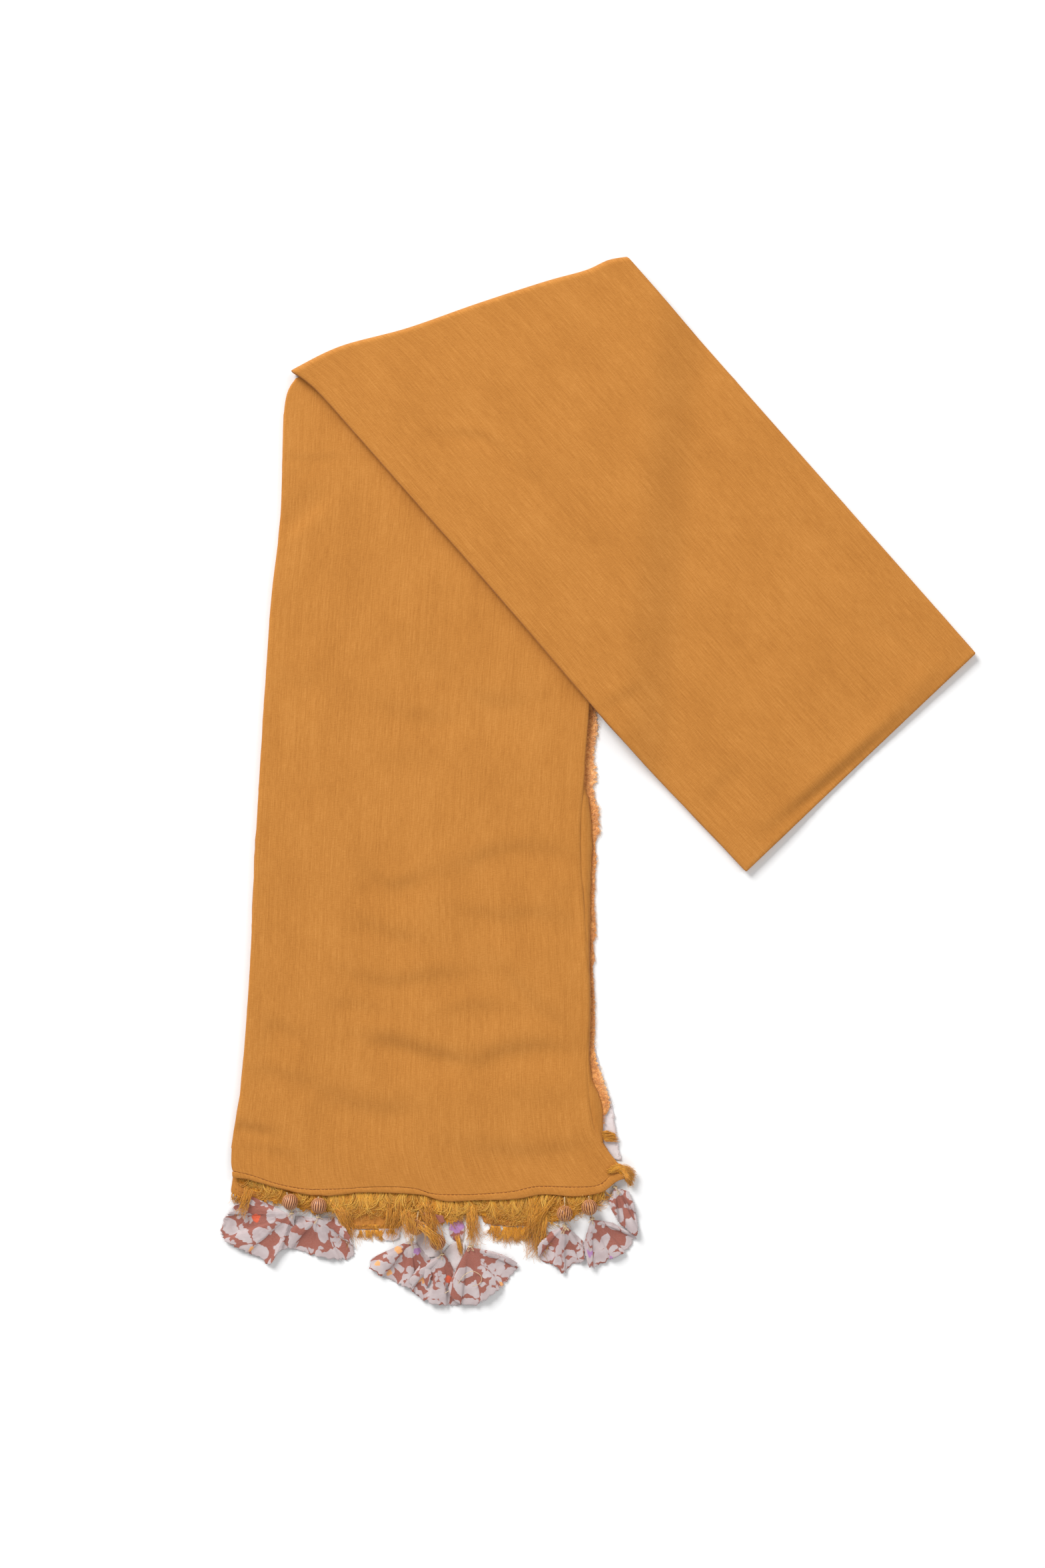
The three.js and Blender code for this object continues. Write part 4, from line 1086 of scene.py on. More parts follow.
# the low fringes: name, node, hem, the shares of it, bunches, length, level, lean, inset and seed
lowFringes = [hemThreads("fringe_threads_" + name, *row) for name, *row in (
    ("left", ["fringe_low_left"], thirdHemEdge, 0.16, 0.29, 70, 8, 0.75, 12, -1.0, 1),
    ("right", ["fringe_low_right"], thirdHemEdge, 0.71, 0.85, 90, 12, 0.75, 0, -1.0, 2),
    ("low", [], thirdHemEdge, 0.02, 0.99, 150, 6, 1.25, 0, 2.6, 3),
    ("second", [], secondHemEdge, 0.17, 0.99, 150, 11, 2.0, 0, 0.6, 4),
    ("corner", [], secondHemEdge, 0.0, 0.1, 40, 8, 1.3, -4, 0.6, 5),
)]


# the frayed side: at y, how far the loosened weave reaches past the cloth
frayRows = [
    (48, 5.0), (41, 7.4), (32, 9.5), (25, 7.5), (14, 7.5), (5, 10.8), (1, 11.0), (-5, 7.0), (-11.5, 5.8),
    (-18, 8.3), (-23, 6.7), (-31, 7.5), (-34, 4.6), (-40, 2.9), (-49, 5.0), (-57, 4.0), (-66, 4.2),
    (-77, 3.8), (-91, 5.6), (-96, 5.8), (-101, 3.4), (-111, 5.0), (-116, 3.3), (-126, 3.5), (-141, 4.1),
    (-157, 4.7), (-168, 4.6), (-174, 5.4), (-178, 6.0), (-183, 8.6), (-187, 9.2), (-195, 7.6), (-203, 6.0),
    (-208, 2.4), (-216, 1.5), (-226, 1.0),
]
# curls of thread, and short hairs further out
frayGroups = [
    {"count": 950, "from": 0.0, "to": 0.75, "reach": (3.0, 6.5), "curl": (190, 430), "sway": 40},
    {"count": 900, "from": 0.55, "to": 0.95, "reach": (1.0, 2.6), "curl": (0, 200), "sway": 20},
]


frayBand = {
    "rows": 380, "from": -208, "to": 53, "tuck": 0.4, "share": 0.74, "ragged": 0.16,
    "level": 0.72, "lumps": 0.3, "levels": (0.32, 1.15), "thickness": 0.3,
    "tone": 0.1, "paler": 0.55, "paleAt": 6.5, "mottle": 0.2,
    "raised": 0.8, "raisedBelow": (-172, -164),
}


def overGauze(y):
    # what lies beside the sheer strip is raised over it
    return frayBand["raised"] * (1 - smooth(y, *frayBand["raisedBelow"]))


def frayWeb():
    # the loosened weave itself: a thin uneven web along the side, pale towards its outside
    ys, across = np.linspace(frayBand["from"], frayBand["to"], frayBand["rows"]), np.linspace(0, 1, 11)
    start = sideEdge(ys)[1] - frayBand["tuck"] + overGauze(ys)
    ragged = 1 + frayBand["ragged"] * ripple(0 * ys, ys, 2.4, 84)
    x = start[:, None] + (0.2 + frayBand["share"] * fromRows(frayRows, ys) * ragged)[:, None] * across
    y = ys[:, None] + 0 * x
    z = frayBand["level"] + frayBand["lumps"] * ripple(x, y, 3.2, 85) * (0.3 + 0.7 * across)
    z = np.clip(z, *frayBand["levels"]) + overGauze(ys)[:, None]
    points, faces, uv = thinSheet(np.dstack([x, y]), z, frayBand["thickness"])
    out = np.clip((points[:, 0] - sideEdge(points[:, 1])[1]) / frayBand["paleAt"], 0, 1)
    mottle = frayBand["mottle"] * ripple(points[:, 0], points[:, 1], 1.5, 86)
    tones = np.clip(frayBand["tone"] + frayBand["paler"] * out + mottle, 0, 1)
    return makePiece("fray_web", points, faces, materials["fray"], ["side_fray"], uv, {"tone": tones})


def sideFray():
    # threads over the web
    paths, tones = [], []
    for row in frayGroups:
        count = row["count"]
        y = dice.uniform(-214, 50, count)
        deep, room = dice.uniform(row["from"], row["to"], count), fromRows(frayRows, y)
        edge = sideEdge(y)[1]
        roots = np.stack([edge + deep * room * 0.8 - 0.2, y], -1)
        curl = dice.uniform(*row["curl"], count) * dice.choice([-1, 1], count)
        reach = dice.uniform(*row["reach"], count) * np.clip(room / 6, 0.4, 1.2)
        heading = dice.normal(0, 40, count) - 0.2 * curl
        high = dice.uniform(1.0, 1.5, count) + overGauze(y)
        made = grow(roots, heading, reach, curl, dice.uniform(0, row["sway"], count),
                    dice.uniform(0.3, 1.3, count) + overGauze(y), high)
        paths.append(made)
        out = np.clip((made[..., 0] - edge[:, None]) / 7, 0, 1)
        tones.append(np.clip(0.2 + 0.62 * out + dice.normal(0, 0.12, (count, 1)), 0, 1))
    paths, tones = np.concatenate(paths), np.concatenate(tones)
    points, faces = tubes(paths, dice.uniform(0.06, 0.11, len(paths)), 0.4)
    return makePiece("fray_threads_side", points, faces, materials["fray"],
                     fields={"tone": perThread(tones.ravel(), 1)})


# locks of orange fibre: along the hidden ply near the corner, and combed to a point at the corner
fibreLocks = [
    {"line": [(2.2, -218.8), (3.2, -221.2), (4.6, -223.8)], "count": 170, "spread": 0.5, "heading": (4, -10),
     "reach": (8, 10), "curl": (-26, 26), "high": 2.4, "low": 1.7, "radius": (0.06, 0.11)},
    {"line": [(6.0, -243.5), (10.5, -240.0), (15.0, -241.6), (18.4, -246.8)], "count": 900, "spread": 0.8,
     "heading": (24, -64), "reach": (18, 7), "curl": (-88, -8), "high": 5.7, "low": 3.3,
     "radius": (0.06, 0.12)},
]


def cornerFray():
    parts, tones = [], []
    for row in fibreLocks:
        count = row["count"]
        share = dice.uniform(0, 1, count)
        roots = alongCurve(row["line"], share) + dice.normal(0, row["spread"], (count, 2))
        between = lambda pair: pair[0] + (pair[1] - pair[0]) * share
        heading = between(row["heading"]) + 9 * ripple(14 * share, 0, 2.5, 88) + dice.normal(0, 5, count)
        reach = between(row["reach"]) * dice.uniform(0.35, 1.0, count)
        curl = between(row["curl"]) + dice.normal(0, 16, count)
        lift = dice.uniform(0, 1, count)
        paths = grow(roots, heading, reach, curl, dice.uniform(4, 30, count), row["low"] + 1.2 * lift,
                     row["high"] + 0.8 * lift)
        points, faces = tubes(paths, dice.uniform(*row["radius"], count), 0.4)
        parts.append((points, faces, points[:, :2]))
        # painted shade: fibres that lie lower get a darker tone, and higher ones a lighter one
        tones.append(np.clip(0.32 + 0.3 * lift + dice.normal(0, 0.12, count), 0, 1))
    points, faces, _ = joined(parts)
    fields = {"tone": perThread(np.concatenate(tones), threadSteps)}
    return makePiece("fray_threads_corner", points, faces, materials["fringe"], ["corner_fray"],
                     fields=fields)


# matted fibre under those locks: its two long sides, and its level at its start and its end
mats = [
    {"upper": [(2.0, -218.6), (6.0, -218.2), (10.6, -219.8)],
     "lower": [(4.4, -223.8), (7.6, -222.8), (11.0, -221.8)], "levels": (1.9, 1.6)},
    {"upper": [(7.6, -240.8), (11.6, -238.2), (16.0, -240.0), (19.4, -245.8), (20.8, -251.6)],
     "lower": [(7.9, -242.2), (10.8, -242.8), (13.9, -244.4), (16.8, -248.2), (20.2, -252.2)],
     "levels": (5.6, 3.1)},
]


def fibreMats():
    parts = []
    for k, row in enumerate(mats):
        shares = np.linspace(0, 1, 60)
        place = betweenCurves(alongCurve(row["lower"], shares), alongCurve(row["upper"], shares),
                              np.linspace(0, 1, 14))
        x, y = place[..., 0], place[..., 1]
        place = np.dstack([x + 0.3 * ripple(x, y, 1.6, 150 + k), y + 0.3 * ripple(x, y, 1.6, 152 + k)])
        start, end = row["levels"]
        z = start + (end - start) * smooth(shares, 0.2, 1)[:, None] + 0.22 * ripple(x, y, 2.0, 154 + k)
        parts.append(thinSheet(place, z, 0.3))
    points, faces, uv = joined(parts)
    tones = 0.3 + 0.3 * ripple(points[:, 0], points[:, 1], 1.1, 156)
    return makePiece("fray_mats", points, faces, materials["fringe"], (), uv,
                     {"tone": np.clip(tones, 0, 1)})


webPiece, sideThreads, cornerThreads, matPiece = frayWeb(), sideFray(), cornerFray(), fibreMats()
print("threads made")


# Printed chiffon: the tassels and the strip beside the cloth

chiffon = {
    "pale": (0.45, 0.358, 0.358),
    "white": (0.545, 0.463, 0.46),
    "ground": (0.312, 0.095, 0.064),
    "orange": (0.80, 0.37, 0.13),
    "red": (0.72, 0.105, 0.035),
    "purple": (0.42, 0.20, 0.43),
    "hair": (0.78, 0.66, 0.64),
    "sheer": (0.62, 0.52, 0.51),
    "sheerest": (0.78, 0.70, 0.69),
    "thickness": 0.35,
    "pitch": 0.74,
    "soft": 0.12,  # half the width of the print's soft outlines
}
flowerColours = ("orange", "red", "purple")


def makeChiffon(name, palest, palestPatch):
    material, tree, shader = newMaterial(name, 0.7, sheen=0.2)
    place = node(tree, "UVMap", uv_map="cloth").outputs[0]
    stored = lambda field: node(tree, "Attribute", attribute_name=field).outputs["Fac"]
    share = lambda field: remap(tree, stored(field), chiffon["soft"], -chiffon["soft"])
    weave = noise(tree, stretched(tree, place, (1500, 1500, 1)), 2)
    cloud = noise(tree, stretched(tree, place, (140, 140, 1)), 3)
    pale = blendColours(tree, remap(tree, cloud, 0.35, 0.65), palest, palestPatch)
    colour = blendColours(tree, share("petals"), chiffon["ground"], pale)
    for field in flowerColours:
        colour = blendColours(tree, share(field), colour, chiffon[field])
    colour = blendColours(tree, remap(tree, weave, 0.3, 0.7, 0.0, 0.05), colour, (0.9, 0.82, 0.8))
    tree.links.new(colour, shader.inputs["Base Color"])
    bump(tree, shader, weave, 0.00008, 0.3)
    return material


materials["chiffon"] = makeChiffon("printed_chiffon", chiffon["pale"], chiffon["white"])
materials["gauze"] = makeChiffon("plain_chiffon", chiffon["sheer"], chiffon["sheerest"])


def ovalField(x, y, row):
    # signed distance to an oval, about: row is centre, half length, half width, direction
    cx, cy, half, across, turn = row
    c, s = math.cos(turn), math.sin(turn)
    along, aside = (x - cx) * c + (y - cy) * s, (y - cy) * c - (x - cx) * s
    across = across * (1 + 0.35 * np.clip(along / half, -1, 1))
    return (np.sqrt((along / half) ** 2 + (aside / across) ** 2) - 1) * np.minimum(half, across)


def flower(cx, cy, size, petals, turn, width):
    # petals round a centre, with the ground showing between them
    out, half, rows = size * 0.56, size * 0.46, []
    for k in range(petals):
        angle = turn + 2 * math.pi * k / petals
        rows.append((cx + out * math.cos(angle), cy + out * math.sin(angle), half, size * width, angle))
    return rows


def nearest(x, y, rows):
    field = np.full(np.broadcast(x, y).shape, 99.0)
    for row in rows:
        field = np.minimum(field, ovalField(x, y, row))
    return field


# the print's motifs: how large each is, how many places are tried for it, and how wide its petals or oval
motifs = [
    {"size": 11.5, "tries": 40, "wide": (0.34, 0.275)},  # with four petals, or with five
    {"size": 6.4, "tries": 90, "petals": 0.28},
    {"size": 5.0, "tries": 140, "oval": 0.54, "room": 0.7},
    {"size": 3.4, "tries": 200, "petals": 0.27},
    {"size": 1.6, "tries": 120, "oval": 0.7},
]


def scatterPrint(outline, seed, bare):
    # a print of its own for each tassel: large flowers, leaves and small flowers, not on the bare places
    source = np.random.default_rng(seed)
    low, high = np.min(outline, axis=0) - 4, np.max(outline, axis=0) + 4
    pale, taken = [], list(bare)
    for motif in motifs:
        for _ in range(motif["tries"]):
            x, y = source.uniform(low, high)
            reach = motif["size"] * source.uniform(0.85, 1.15)
            room = motif.get("room", 1) * reach
            if any(math.hypot(x - cx, y - cy) < (room + other) * 0.78 for cx, cy, other in taken):
                continue
            taken.append((x, y, room))
            turn = source.uniform(0, 2 * math.pi)
            if "oval" in motif:
                pale.append((x, y, reach, reach * motif["oval"], turn))
            elif "petals" in motif:
                pale += flower(x, y, reach, 5, turn, motif["petals"])
            else:
                extra = source.integers(0, 2)
                pale += flower(x, y, reach, 4 + extra, turn, motif["wide"][extra])
    return pale


# the tassels, from left to right: their flat size, neck, pleats and torn edge, and what is printed on them
tassels = [
    {"cut": (88, 33), "neck": (-191.4, -270.0), "neckTop": 4.2, "rise": 2.6, "lift": (0, 1.2),
     "edge": [(-215.5, -259.5), (-225.0, -264.0), (-232.5, -272.0), (-234.8, -284.0), (-224.0, -291.7),
              (-212.0, -296.9), (-204.8, -301.0), (-199.0, -293.0), (-189.5, -290.0)],
     "bare": [(-212, -269, 6), (-205, -286, 3)], "orange": [(-217, -291.5, 2.2)],
     "red": [(-213.5, -272, 3.0)]},
    {"cut": (87, 23), "neck": (-174.8, -272.4), "neckTop": 4.2, "rise": 2.7,
     "edge": [(-188.6, -271.6), (-193.6, -288.6), (-185.0, -293.3), (-170.1, -297.2), (-157.0, -298.5),
              (-152.5, -294.2), (-156.5, -281.0), (-164.0, -272.4)],
     "bare": [(-182, -284, 6.5), (-175, -288, 4)]},
    {"cut": (66, 28), "neck": (-116.8, -286.6), "neckTop": 4.0, "rise": 3.4,
     "edge": [(-140.9, -297.6), (-141.8, -304.0), (-130.9, -310.5), (-119.7, -315.4), (-110.5, -321.0),
              (-104.8, -311.0), (-104.0, -299.0)],
     "bare": [(-118, -300, 4.5)], "orange": [(-137, -301, 2.0), (-130, -307, 2.2), (-124, -292, 2.4)],
     "purple": [(-113.5, -293, 2.2)]},
    {"cut": (75, 25), "neck": (-96.7, -295.7), "neckTop": 4.0, "rise": 3.0, "lift": (1.1, 0),
     "edge": [(-110.5, -301.0), (-117.4, -311.5), (-114.4, -319.4), (-105.5, -324.6), (-94.6, -326.7),
              (-85.0, -326.3), (-86.0, -316.0), (-90.0, -304.0)],
     "bare": [(-95, -304, 3)], "orange": [(-109.5, -311.5, 2.4)], "red": [(-93.5, -311, 2.6)]},
    {"cut": (84, 28), "neck": (-80.0, -291.0), "neckTop": 2.2, "rise": 3.0, "lift": (1.9, 0),
     "edge": [(-90.5, -308.0), (-93.0, -318.0), (-86.5, -325.4), (-76.3, -326.2), (-65.1, -319.2),
              (-56.7, -311.7), (-50.4, -302.4), (-55.0, -297.5), (-66.0, -293.5)],
     "bare": [(-79, -298, 7), (-75, -309, 4)], "orange": [(-60, -313, 1.8)]},
    {"cut": (24, 12), "neck": (-88.0, -271.0), "neckTop": 0.5, "rise": 0.3, "flutes": 2,
     "edge": [(-93.0, -277.5), (-92.0, -284.2), (-88.0, -287.2), (-84.6, -286.0), (-83.4, -278.0)],
     "bare": [(-88, -278, 4), (-88, -285, 3)], "purple": [(-88.6, -277, 5.2)]},
    {"cut": (60, 22), "neck": (-20.6, -277.8), "neckTop": 4.2, "rise": 2.7,
     "edge": [(-32.5, -282.6), (-37.5, -291.0), (-35.9, -297.6), (-27.5, -302.1), (-21.7, -306.3),
              (-16.7, -301.7), (-8.8, -298.8), (-9.5, -287.0)],
     "bare": [(-29, -286, 4.5), (-17, -290, 3)]},
    {"cut": (66, 24), "neck": (-3.2, -273.6), "neckTop": 4.2, "rise": 2.7, "lift": (1.1, 0),
     "edge": [(-8.8, -289.0), (-6.7, -299.6), (-2.5, -303.4), (5.0, -298.8), (14.2, -295.4),
              (21.7, -287.6), (22.6, -283.4), (9.2, -275.6)],
     "bare": [(2, -280, 3), (12, -286, 4)], "purple": [(-5, -294, 1.8), (9, -297, 1.6)]},
    {"cut": (55, 18), "neck": (11.6, -254.3), "neckTop": 2.6, "rise": 3.0, "lift": (1.3, 1.3),
     "edge": [(6.8, -262.5), (9.6, -269.5), (14.5, -276.0), (23.2, -283.4), (24.6, -277.0),
              (22.8, -266.0), (19.4, -256.0)],
     "bare": [(15, -262, 3), (19, -271, 3)]},
]
pleat = {
    "flutes": 3, "neckWidth": 2.6, "overhang": 0.36, "head": 0.09,
    "ragged": 0.7, "tearWaves": (3.5, 1.3),
    "crinkle": 0.13, "crinkleWave": 3.2,
    "rise": 0.8,  # of a pleat's height, as a share of each tassel's
    "rest": 0.25,  # the lowest level of the cloth's underside
    "overHem": 1.3, "hemAt": (-266, -262), "hemLeftOf": (196, 204),  # the left tassel lies on the hem
}


def makeTassel(row, number):
    # a fan of pleats that lie over one another, gathered at the neck, with a ragged edge
    neck, outline = np.array(row["neck"]), np.array(row["edge"])
    flutes, seed = row.get("flutes", pleat["flutes"]), 10 * number
    span = float(stepsOf(alongCurve(outline, np.linspace(0, 1, 40))).sum())
    depth = float(np.linalg.norm(outline - neck, axis=1).mean())
    us = np.linspace(0, 1, max(40, round(1.35 * span / chiffon["pitch"])) + 1)
    rs = np.linspace(-pleat["head"], 1, max(24, round(depth / chiffon["pitch"])) + 1)
    u, r = us[:, None], rs[None]
    opened = smooth(r, 0.02, 0.5)
    fold = 2 * math.pi * flutes * u + 0.5 * ripple(4 * u, r, 2.2, seed) * opened
    overlap = pleat["overhang"] * opened * np.sin(2 * fold) / (2 * math.pi * flutes)
    at = u + overlap * np.minimum(1, 8 * u * (1 - u))
    wide, fine = pleat["tearWaves"]
    torn = ripple(u * span, 0 * r, wide, seed + 1) + 0.6 * ripple(u * span, 0 * r, fine, seed + 2)
    reach = r * (1 + pleat["ragged"] / depth * torn)
    outer = alongCurve(outline, np.clip(at, 0, 1).ravel()).reshape(*at.shape, 2)
    inner = neck + np.stack([(at - 0.5) * pleat["neckWidth"], 0 * at], -1)
    place = inner + (outer - inner) * reach[..., None]
    x, y = place[..., 0], place[..., 1]
    floor = chiffon["thickness"] / 2 + pleat["rest"]
    bottle = (row["neckTop"] - floor - 0.2) * (1 - smooth(r, 0, 0.7))
    onHem = pleat["overHem"] * smooth(y, *pleat["hemAt"]) * smooth(-x, *pleat["hemLeftOf"])
    raised = row["rise"] * (0.5 - 0.5 * np.cos(fold)) * smooth(r, 0, 0.8)
    crinkle = pleat["crinkle"] * ripple(x, y, pleat["crinkleWave"], seed + 3) * smooth(r, 0, 0.3)
    west, east = row.get("lift", (0, 0))
    layered = (west + (east - west) * smooth(u, 0.35, 0.7)) * smooth(r, 0.3, 0.8)
    z = floor + bottle + pleat["rise"] * raised + np.abs(crinkle) + onHem + layered
    low, high = thinShell(np.dstack([place, z]), chiffon["thickness"])
    flatPlace = neck + (alongCurve(outline, us)[:, None] - neck) * r[..., None]
    points, faces, maps = shell(low, high, flatPlace - neck, loops=1)
    x, y = maps[:, 0] + neck[0], maps[:, 1] + neck[1]
    pale = scatterPrint(np.vstack([outline, [neck]]), 100 + seed, row["bare"])
    fields = {"petals": nearest(x, y, pale)}
    for colour in flowerColours:
        flowers = (flower(cx, cy, size, 5, 0.4 * cx, 0.40) for cx, cy, size in row.get(colour, ()))
        fields[colour] = nearest(x, y, sum(flowers, []))
    return makePiece(f"chiffon_tassel_{number}", points, faces, materials["chiffon"],
                     [f"tassel_{number}"], maps, fields)


gauzeOuter = [
    (14.4, -236.6), (12.3, -226.0), (10.8, -215.0), (7.9, -199.1), (2.9, -186.6), (-1.6, -166.0),
]
hairs = {
    "steps": 5, "perMillimetre": 1.3, "tuck": 0.8, "reach": (1.2, 2.3), "curl": 70, "sway": 30,
    "lifted": 0.8,  # where the tassel lies on another
    "stripCount": 90, "stripReach": (1.6, 3.6), "stripCurl": 200, "stripLevels": (0.8, 1.1),
    "radius": (0.05, 0.09), "taper": 0.4,
}


def tasselHairs():
    # short hairs along the tassels' torn edges, and along the strip's
    paths = []
    for row in tassels:
        outline, neck = np.array(row["edge"]), np.array(row["neck"])
        count = round(hairs["perMillimetre"] * float(stepsOf(outline).sum()))
        roots = alongCurve(outline, dice.uniform(0, 1, count))
        inward = neck - roots
        inward /= np.linalg.norm(inward, axis=1)[:, None]
        heading = np.degrees(np.arctan2(-inward[:, 1], -inward[:, 0])) + dice.normal(0, 34, count)
        level = dice.uniform(0.5, 1.0, count) + (hairs["lifted"] if "lift" in row else 0)
        reach, curl = dice.uniform(*hairs["reach"], count), dice.normal(0, hairs["curl"], count)
        sway = dice.uniform(0, hairs["sway"], count)
        paths.append(grow(roots + hairs["tuck"] * inward, heading, reach, curl, sway, 0.6 * level, level,
                          hairs["steps"]))
    count = hairs["stripCount"]
    roots = alongCurve(gauzeOuter, dice.uniform(0, 0.75, count)) - (hairs["tuck"], 0)
    heading, reach = dice.normal(0, 60, count), dice.uniform(*hairs["stripReach"], count)
    curl, sway = dice.normal(0, hairs["stripCurl"], count), dice.uniform(0, hairs["sway"], count)
    low, high = (np.full(count, level) for level in hairs["stripLevels"])
    paths = np.concatenate([*paths, grow(roots, heading, reach, curl, sway, low, high, hairs["steps"])])
    points, faces = tubes(paths, dice.uniform(*hairs["radius"], len(paths)), hairs["taper"])
    return makePiece("chiffon_hairs", points, faces, materials["hair"])


materials["hair"] = makeThread("chiffon_hair", dict.fromkeys(("dark", "middle", "light"), chiffon["hair"]))
tasselPieces = [makeTassel(row, number) for number, row in enumerate(tassels, 1)]
hairPiece = tasselHairs()


def plainFields(points, petals):
    # a print that is all pale or all ground, without any coloured flower
    return {"petals": np.full(len(points), petals), **dict.fromkeys(flowerColours, np.full(len(points), 9.0))}


def sideStrip():
    # the sheer strip: plain, with soft waves
    shares = np.linspace(0, 1, 90)
    upper = alongCurve(gauzeOuter, shares)
    upper = upper + leftOf(upper) * 0.5 * ripple(shares * 70, 0 * shares, 5, 91)[:, None]
    inner = alongCurve(beside(underRight, 0.8, 0.03, 0.295), shares)
    place = betweenCurves(inner, upper, np.linspace(0, 1, 18))
    z = np.clip(0.55 + 0.28 * ripple(place[..., 0], place[..., 1], 9, 92, (1, 2.2)), 0.35, 1.0)
    points, faces, maps = thinSheet(place, z, chiffon["thickness"])
    return makePiece("gauze_strip", points, faces, materials["gauze"], ["side_gauze"], maps,
                     plainFields(points, -1.0))


stripPiece = sideStrip()

# loose scraps of plain chiffon behind and between the tassels
scraps = [
    {"lower": [(-113, -291), (-105, -297), (-98, -297)], "upper": [(-113.5, -280), (-104, -281), (-96, -285)],
     "z": 0.5, "cut": (15, 14)},
    {"lower": [(-94, -311), (-89, -310), (-84, -301)], "upper": [(-97, -295), (-90, -288), (-83, -289)],
     "z": 0.5, "cut": (16, 17)},
    {"lower": [(-110, -273), (-103, -276), (-96, -275)], "upper": [(-109, -269), (-103, -270), (-97, -271)],
     "z": 2.9, "petals": 1.0, "cut": (10, 10)},
    {"lower": [(-134, -286), (-129, -287), (-124, -285)], "upper": [(-138, -278), (-130, -277), (-123, -278)],
     "z": 0.4, "cut": (11, 10)},
]


def makeScrap(row, k):
    shares = np.linspace(0, 1, 26)
    torn = lambda seed: 0.6 * ripple(shares * 20, 0 * shares, 3, seed + k)[:, None]
    lower, upper = alongCurve(row["lower"], shares) + torn(120), alongCurve(row["upper"], shares) + torn(130)
    place = betweenCurves(lower, upper, np.linspace(0, 1, 20))
    z = row["z"] + 0.4 * (1 + ripple(place[..., 0], place[..., 1], 7, 140 + k, (1, 2.5))) / 2
    points, faces, maps = thinSheet(place, z, chiffon["thickness"])
    fields = plainFields(points, row.get("petals", -1.0))
    return makePiece(f"chiffon_scrap_{k}", points, faces, materials["gauze"], (), maps, fields)


scrapPieces = [makeScrap(row, k) for k, row in enumerate(scraps, 1)]
print("chiffon made")


# Beads on their ties

bead = {
    "radius": 5.0, "bore": 1.2, "segments": 54, "rings": 18, "grooves": 18, "depth": 0.30, "centre": 5.1,
    "light": (0.64, 0.305, 0.145), "dark": (0.13, 0.032, 0.012),
}
tie = {
    "radius": 0.18, "colour": (0.80, 0.60, 0.36), "steps": 24,
    "strands": 3, "pitch": 3.4, "wind": 0.26,  # of the strands' turns, and how far each is off the middle
    "knotTurns": 4, "knot": (1.45, 0.9), "knotPitch": 0.3,  # half its width and height
    "ends": 2, "headings": (-150, -30), "reach": (2.5, 5.5), "bend": 1.6,
    "taper": 0.1, "sides": 5,
}
ties = [
    {"start": (-194.3, -256.2, 4.6), "bead": (-192.2, -261.9), "neck": (-191.2, -269.3), "twist": 0.55},
    {"start": (-174.6, -258.8, 4.6), "bead": (-174.3, -264.4), "neck": (-174.6, -271.6), "twist": 0.1},
    {"start": (-112.2, -268.0, 2.0), "bead": (-113.8, -277.9), "neck": (-116.3, -285.8), "twist": 0.1},
    {"start": (-102.8, -269.5, 2.0), "bead": (-100.1, -287.1), "neck": (-97.2, -294.9), "twist": -0.3},
    {"start": (-20.9, -259.2, 4.6), "bead": (-20.8, -269.2), "neck": (-20.8, -277.0), "twist": 0.15,
     "ends": 5},
    {"start": (-5.8, -258.5, 4.6), "bead": (-5.4, -265.4), "neck": (-3.6, -272.8), "twist": 0.0},
    {"start": (-80.4, -271.2, 1.0), "neck": (-80.0, -290.2)},
    {"start": (9.2, -251.6, 3.4), "neck": (10.6, -253.2)},
]


def makeBeadMaterial():
    material, tree, shader = newMaterial("carved_bead", 0.42, specular=0.4)
    groove = node(tree, "Attribute", attribute_name="groove").outputs["Fac"]
    place = node(tree, "TexCoord").outputs["Object"]
    grain = remap(tree, noise(tree, place, 2, 700), 0.3, 0.7, -0.1, 0.1)
    share = remap(tree, calculate(tree, "ADD", groove, grain), 0.22, 0.42)
    tree.links.new(blendColours(tree, share, bead["light"], bead["dark"]), shader.inputs["Base Color"])
    return material


materials["bead"] = makeBeadMaterial()
materials["tie"] = makePlainThread("tie_thread", tie["colour"], 0.65, 0.6, 0.2)


def modelBead():
    # a ball with grooves from end to end, bored through
    bpy.ops.object.select_all(action="DESELECT")
    size = {"segments": bead["segments"], "ring_count": bead["rings"]}
    bpy.ops.mesh.primitive_uv_sphere_add(radius=bead["radius"] * millimetre, **size)
    ball = bpy.context.object
    every = bead["segments"] // bead["grooves"]
    chosen = []
    for vertex in ball.data.vertices:
        around = math.atan2(vertex.co.y, vertex.co.x) / (2 * math.pi) * bead["segments"]
        flat = math.hypot(vertex.co.x, vertex.co.y) > 0.3 * bead["radius"] * millimetre
        vertex.select = flat and round(around - bead["segments"] / 4) % every == 0
        chosen.append(vertex.select)
    for group in (ball.data.edges, ball.data.polygons):
        group.foreach_set("select", [False] * len(group))
    bpy.ops.object.mode_set(mode="EDIT")
    bpy.context.tool_settings.mesh_select_mode = (True, False, False)
    bpy.ops.transform.shrink_fatten(value=-bead["depth"] * millimetre)
    bpy.ops.object.mode_set(mode="OBJECT")
    store = ball.data.attributes.new("groove", "FLOAT", "POINT")
    store.data.foreach_set("value", [float(value) for value in chosen])
    bpy.ops.object.select_all(action="DESELECT")
    bpy.ops.mesh.primitive_cylinder_add(vertices=24, radius=bead["bore"] * millimetre,
                                        depth=3 * bead["radius"] * millimetre)
    drill = bpy.context.object
    bpy.ops.object.select_all(action="DESELECT")
    ball.select_set(True)
    bpy.context.view_layer.objects.active = ball
    cut = ball.modifiers.new("bore", "BOOLEAN")
    cut.operation, cut.object, cut.solver = "DIFFERENCE", drill, "EXACT"
    bpy.ops.object.modifier_apply(modifier=cut.name)
    bpy.data.objects.remove(drill)
    return ball


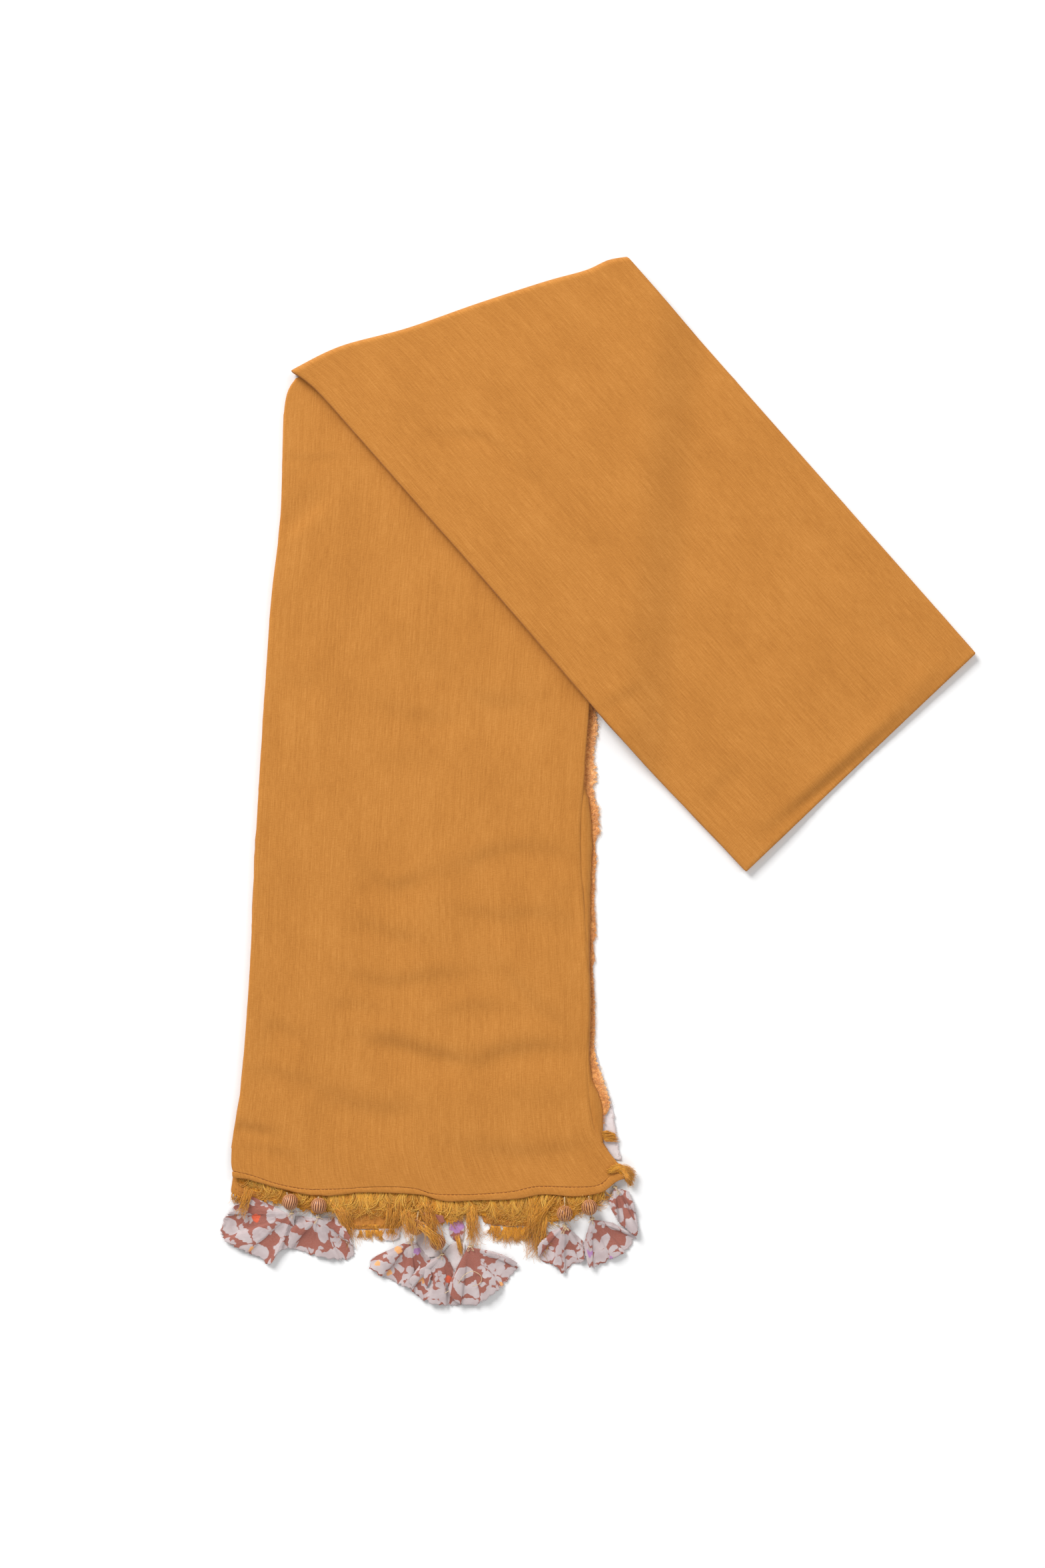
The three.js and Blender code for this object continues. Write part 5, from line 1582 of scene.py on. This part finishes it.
def threadBead(row, number, model):
    # a copy of the bead, with its bore along the tie
    piece = model.copy()
    piece.data = model.data.copy()
    piece.name = f"carved_bead_{number}"
    bpy.context.collection.objects.link(piece)
    points = np.array([vertex.co[:] for vertex in piece.data.vertices]) / millimetre
    angle = row["twist"] * points[:, 2] / bead["radius"]
    x = points[:, 0] * np.cos(angle) - points[:, 1] * np.sin(angle)
    y = points[:, 0] * np.sin(angle) + points[:, 1] * np.cos(angle)
    along = np.array(row["neck"]) - np.array(row["start"][:2])
    along = along / np.linalg.norm(along)
    aside = np.array([-along[1], along[0]])
    place = np.array(row["bead"]) + points[:, 2, None] * along + x[:, None] * aside
    placed = np.column_stack([place + [layoutShift["x"], layoutShift["y"]], bead["centre"] + y])
    piece.data.vertices.foreach_set("co", (placed * millimetre).ravel())
    piece.data.polygons.foreach_set("use_smooth", [True] * len(piece.data.polygons))
    piece.data.materials.clear()
    piece.data.materials.append(materials["bead"])
    piece.data.update()
    return finished(piece, [f"bead_{number}"])


def makeTie(row, number, neckTop):
    # strands wound round one another, and a knot with loops at the neck
    beaded = [(*row["bead"], bead["centre"])] if "bead" in row else []
    stops = np.array([row["start"], *beaded, (*row["neck"], neckTop)])
    run = travelled(stops)
    at = np.linspace(0, run[-1], tie["steps"])
    line = np.stack([np.interp(at, run, column) for column in stops.T], -1)
    paths = []
    for k in range(tie["strands"]):
        turn = 2 * math.pi * (at / tie["pitch"] + k / tie["strands"])
        paths.append(line + np.stack([np.cos(turn), 0 * turn, np.sin(turn)], -1) * tie["wind"])
    end = stops[-1]
    wide, high = tie["knot"]
    for k in range(tie["knotTurns"]):
        # turns of thread round the neck
        turn = np.linspace(0, 2 * math.pi, tie["steps"]) + k
        y = tie["knotPitch"] * k - 0.5 + tie["knotPitch"] * np.sin(turn + k)
        paths.append(end + np.stack([wide * np.cos(turn), y, high * np.sin(turn)], -1) + (0, 0, -0.5))
    for _ in range(row.get("ends", tie["ends"])):
        # loose ends and a loop or two
        share = np.linspace(0, 1, tie["steps"])[:, None]
        heading = math.radians(dice.uniform(*tie["headings"]))
        reach, bend = dice.uniform(*tie["reach"]), dice.uniform(-tie["bend"], tie["bend"])
        out = np.array([math.cos(heading), math.sin(heading), 0])
        aside = np.array([-out[1], out[0], 0])
        rise = np.array([0, 0, 1.0]) * (0.6 * np.sin(3.14 * share) + 0.3)
        paths.append(end + out * reach * np.sin(share * 2.4) + aside * bend * np.sin(3.1 * share) + rise)
    points, faces = tubes(np.array(paths), np.full(len(paths), tie["radius"]), tie["taper"], tie["sides"])
    return makePiece(f"wound_tie_{number}", points, faces, materials["tie"], [f"tie_{number}"])


# a loose thread that lies in a loop on the fifth tassel
looseThread = [
    (-95.5, -319.2, 3.6), (-88.8, -314.6, 4.4), (-83.6, -308.0, 4.6), (-78.4, -305.4, 4.8),
    (-73.8, -307.5, 4.9), (-72.6, -310.7, 4.8), (-75.1, -313.8, 4.7), (-78.4, -314.6, 4.6),
]


def makeLooseThread():
    points, faces = tubes(alongCurve(looseThread, np.linspace(0, 1, 60))[None], [0.24], 0.3, 6)
    return makePiece("loose_thread", points, faces, materials["tie"])


makeLooseThread()
beadModel = modelBead()
for number, row in enumerate(ties, 1):
    head = min(tassels, key=lambda other: math.dist(other["neck"], row["neck"]))
    makeTie(row, number, head["neckTop"])
    if "bead" in row:
        threadBead(row, number, beadModel)
bpy.data.objects.remove(beadModel)
print("beads and ties made")


for row, piece in zip(tassels, tasselPieces):
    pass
for row, piece in zip(scraps, scrapPieces):
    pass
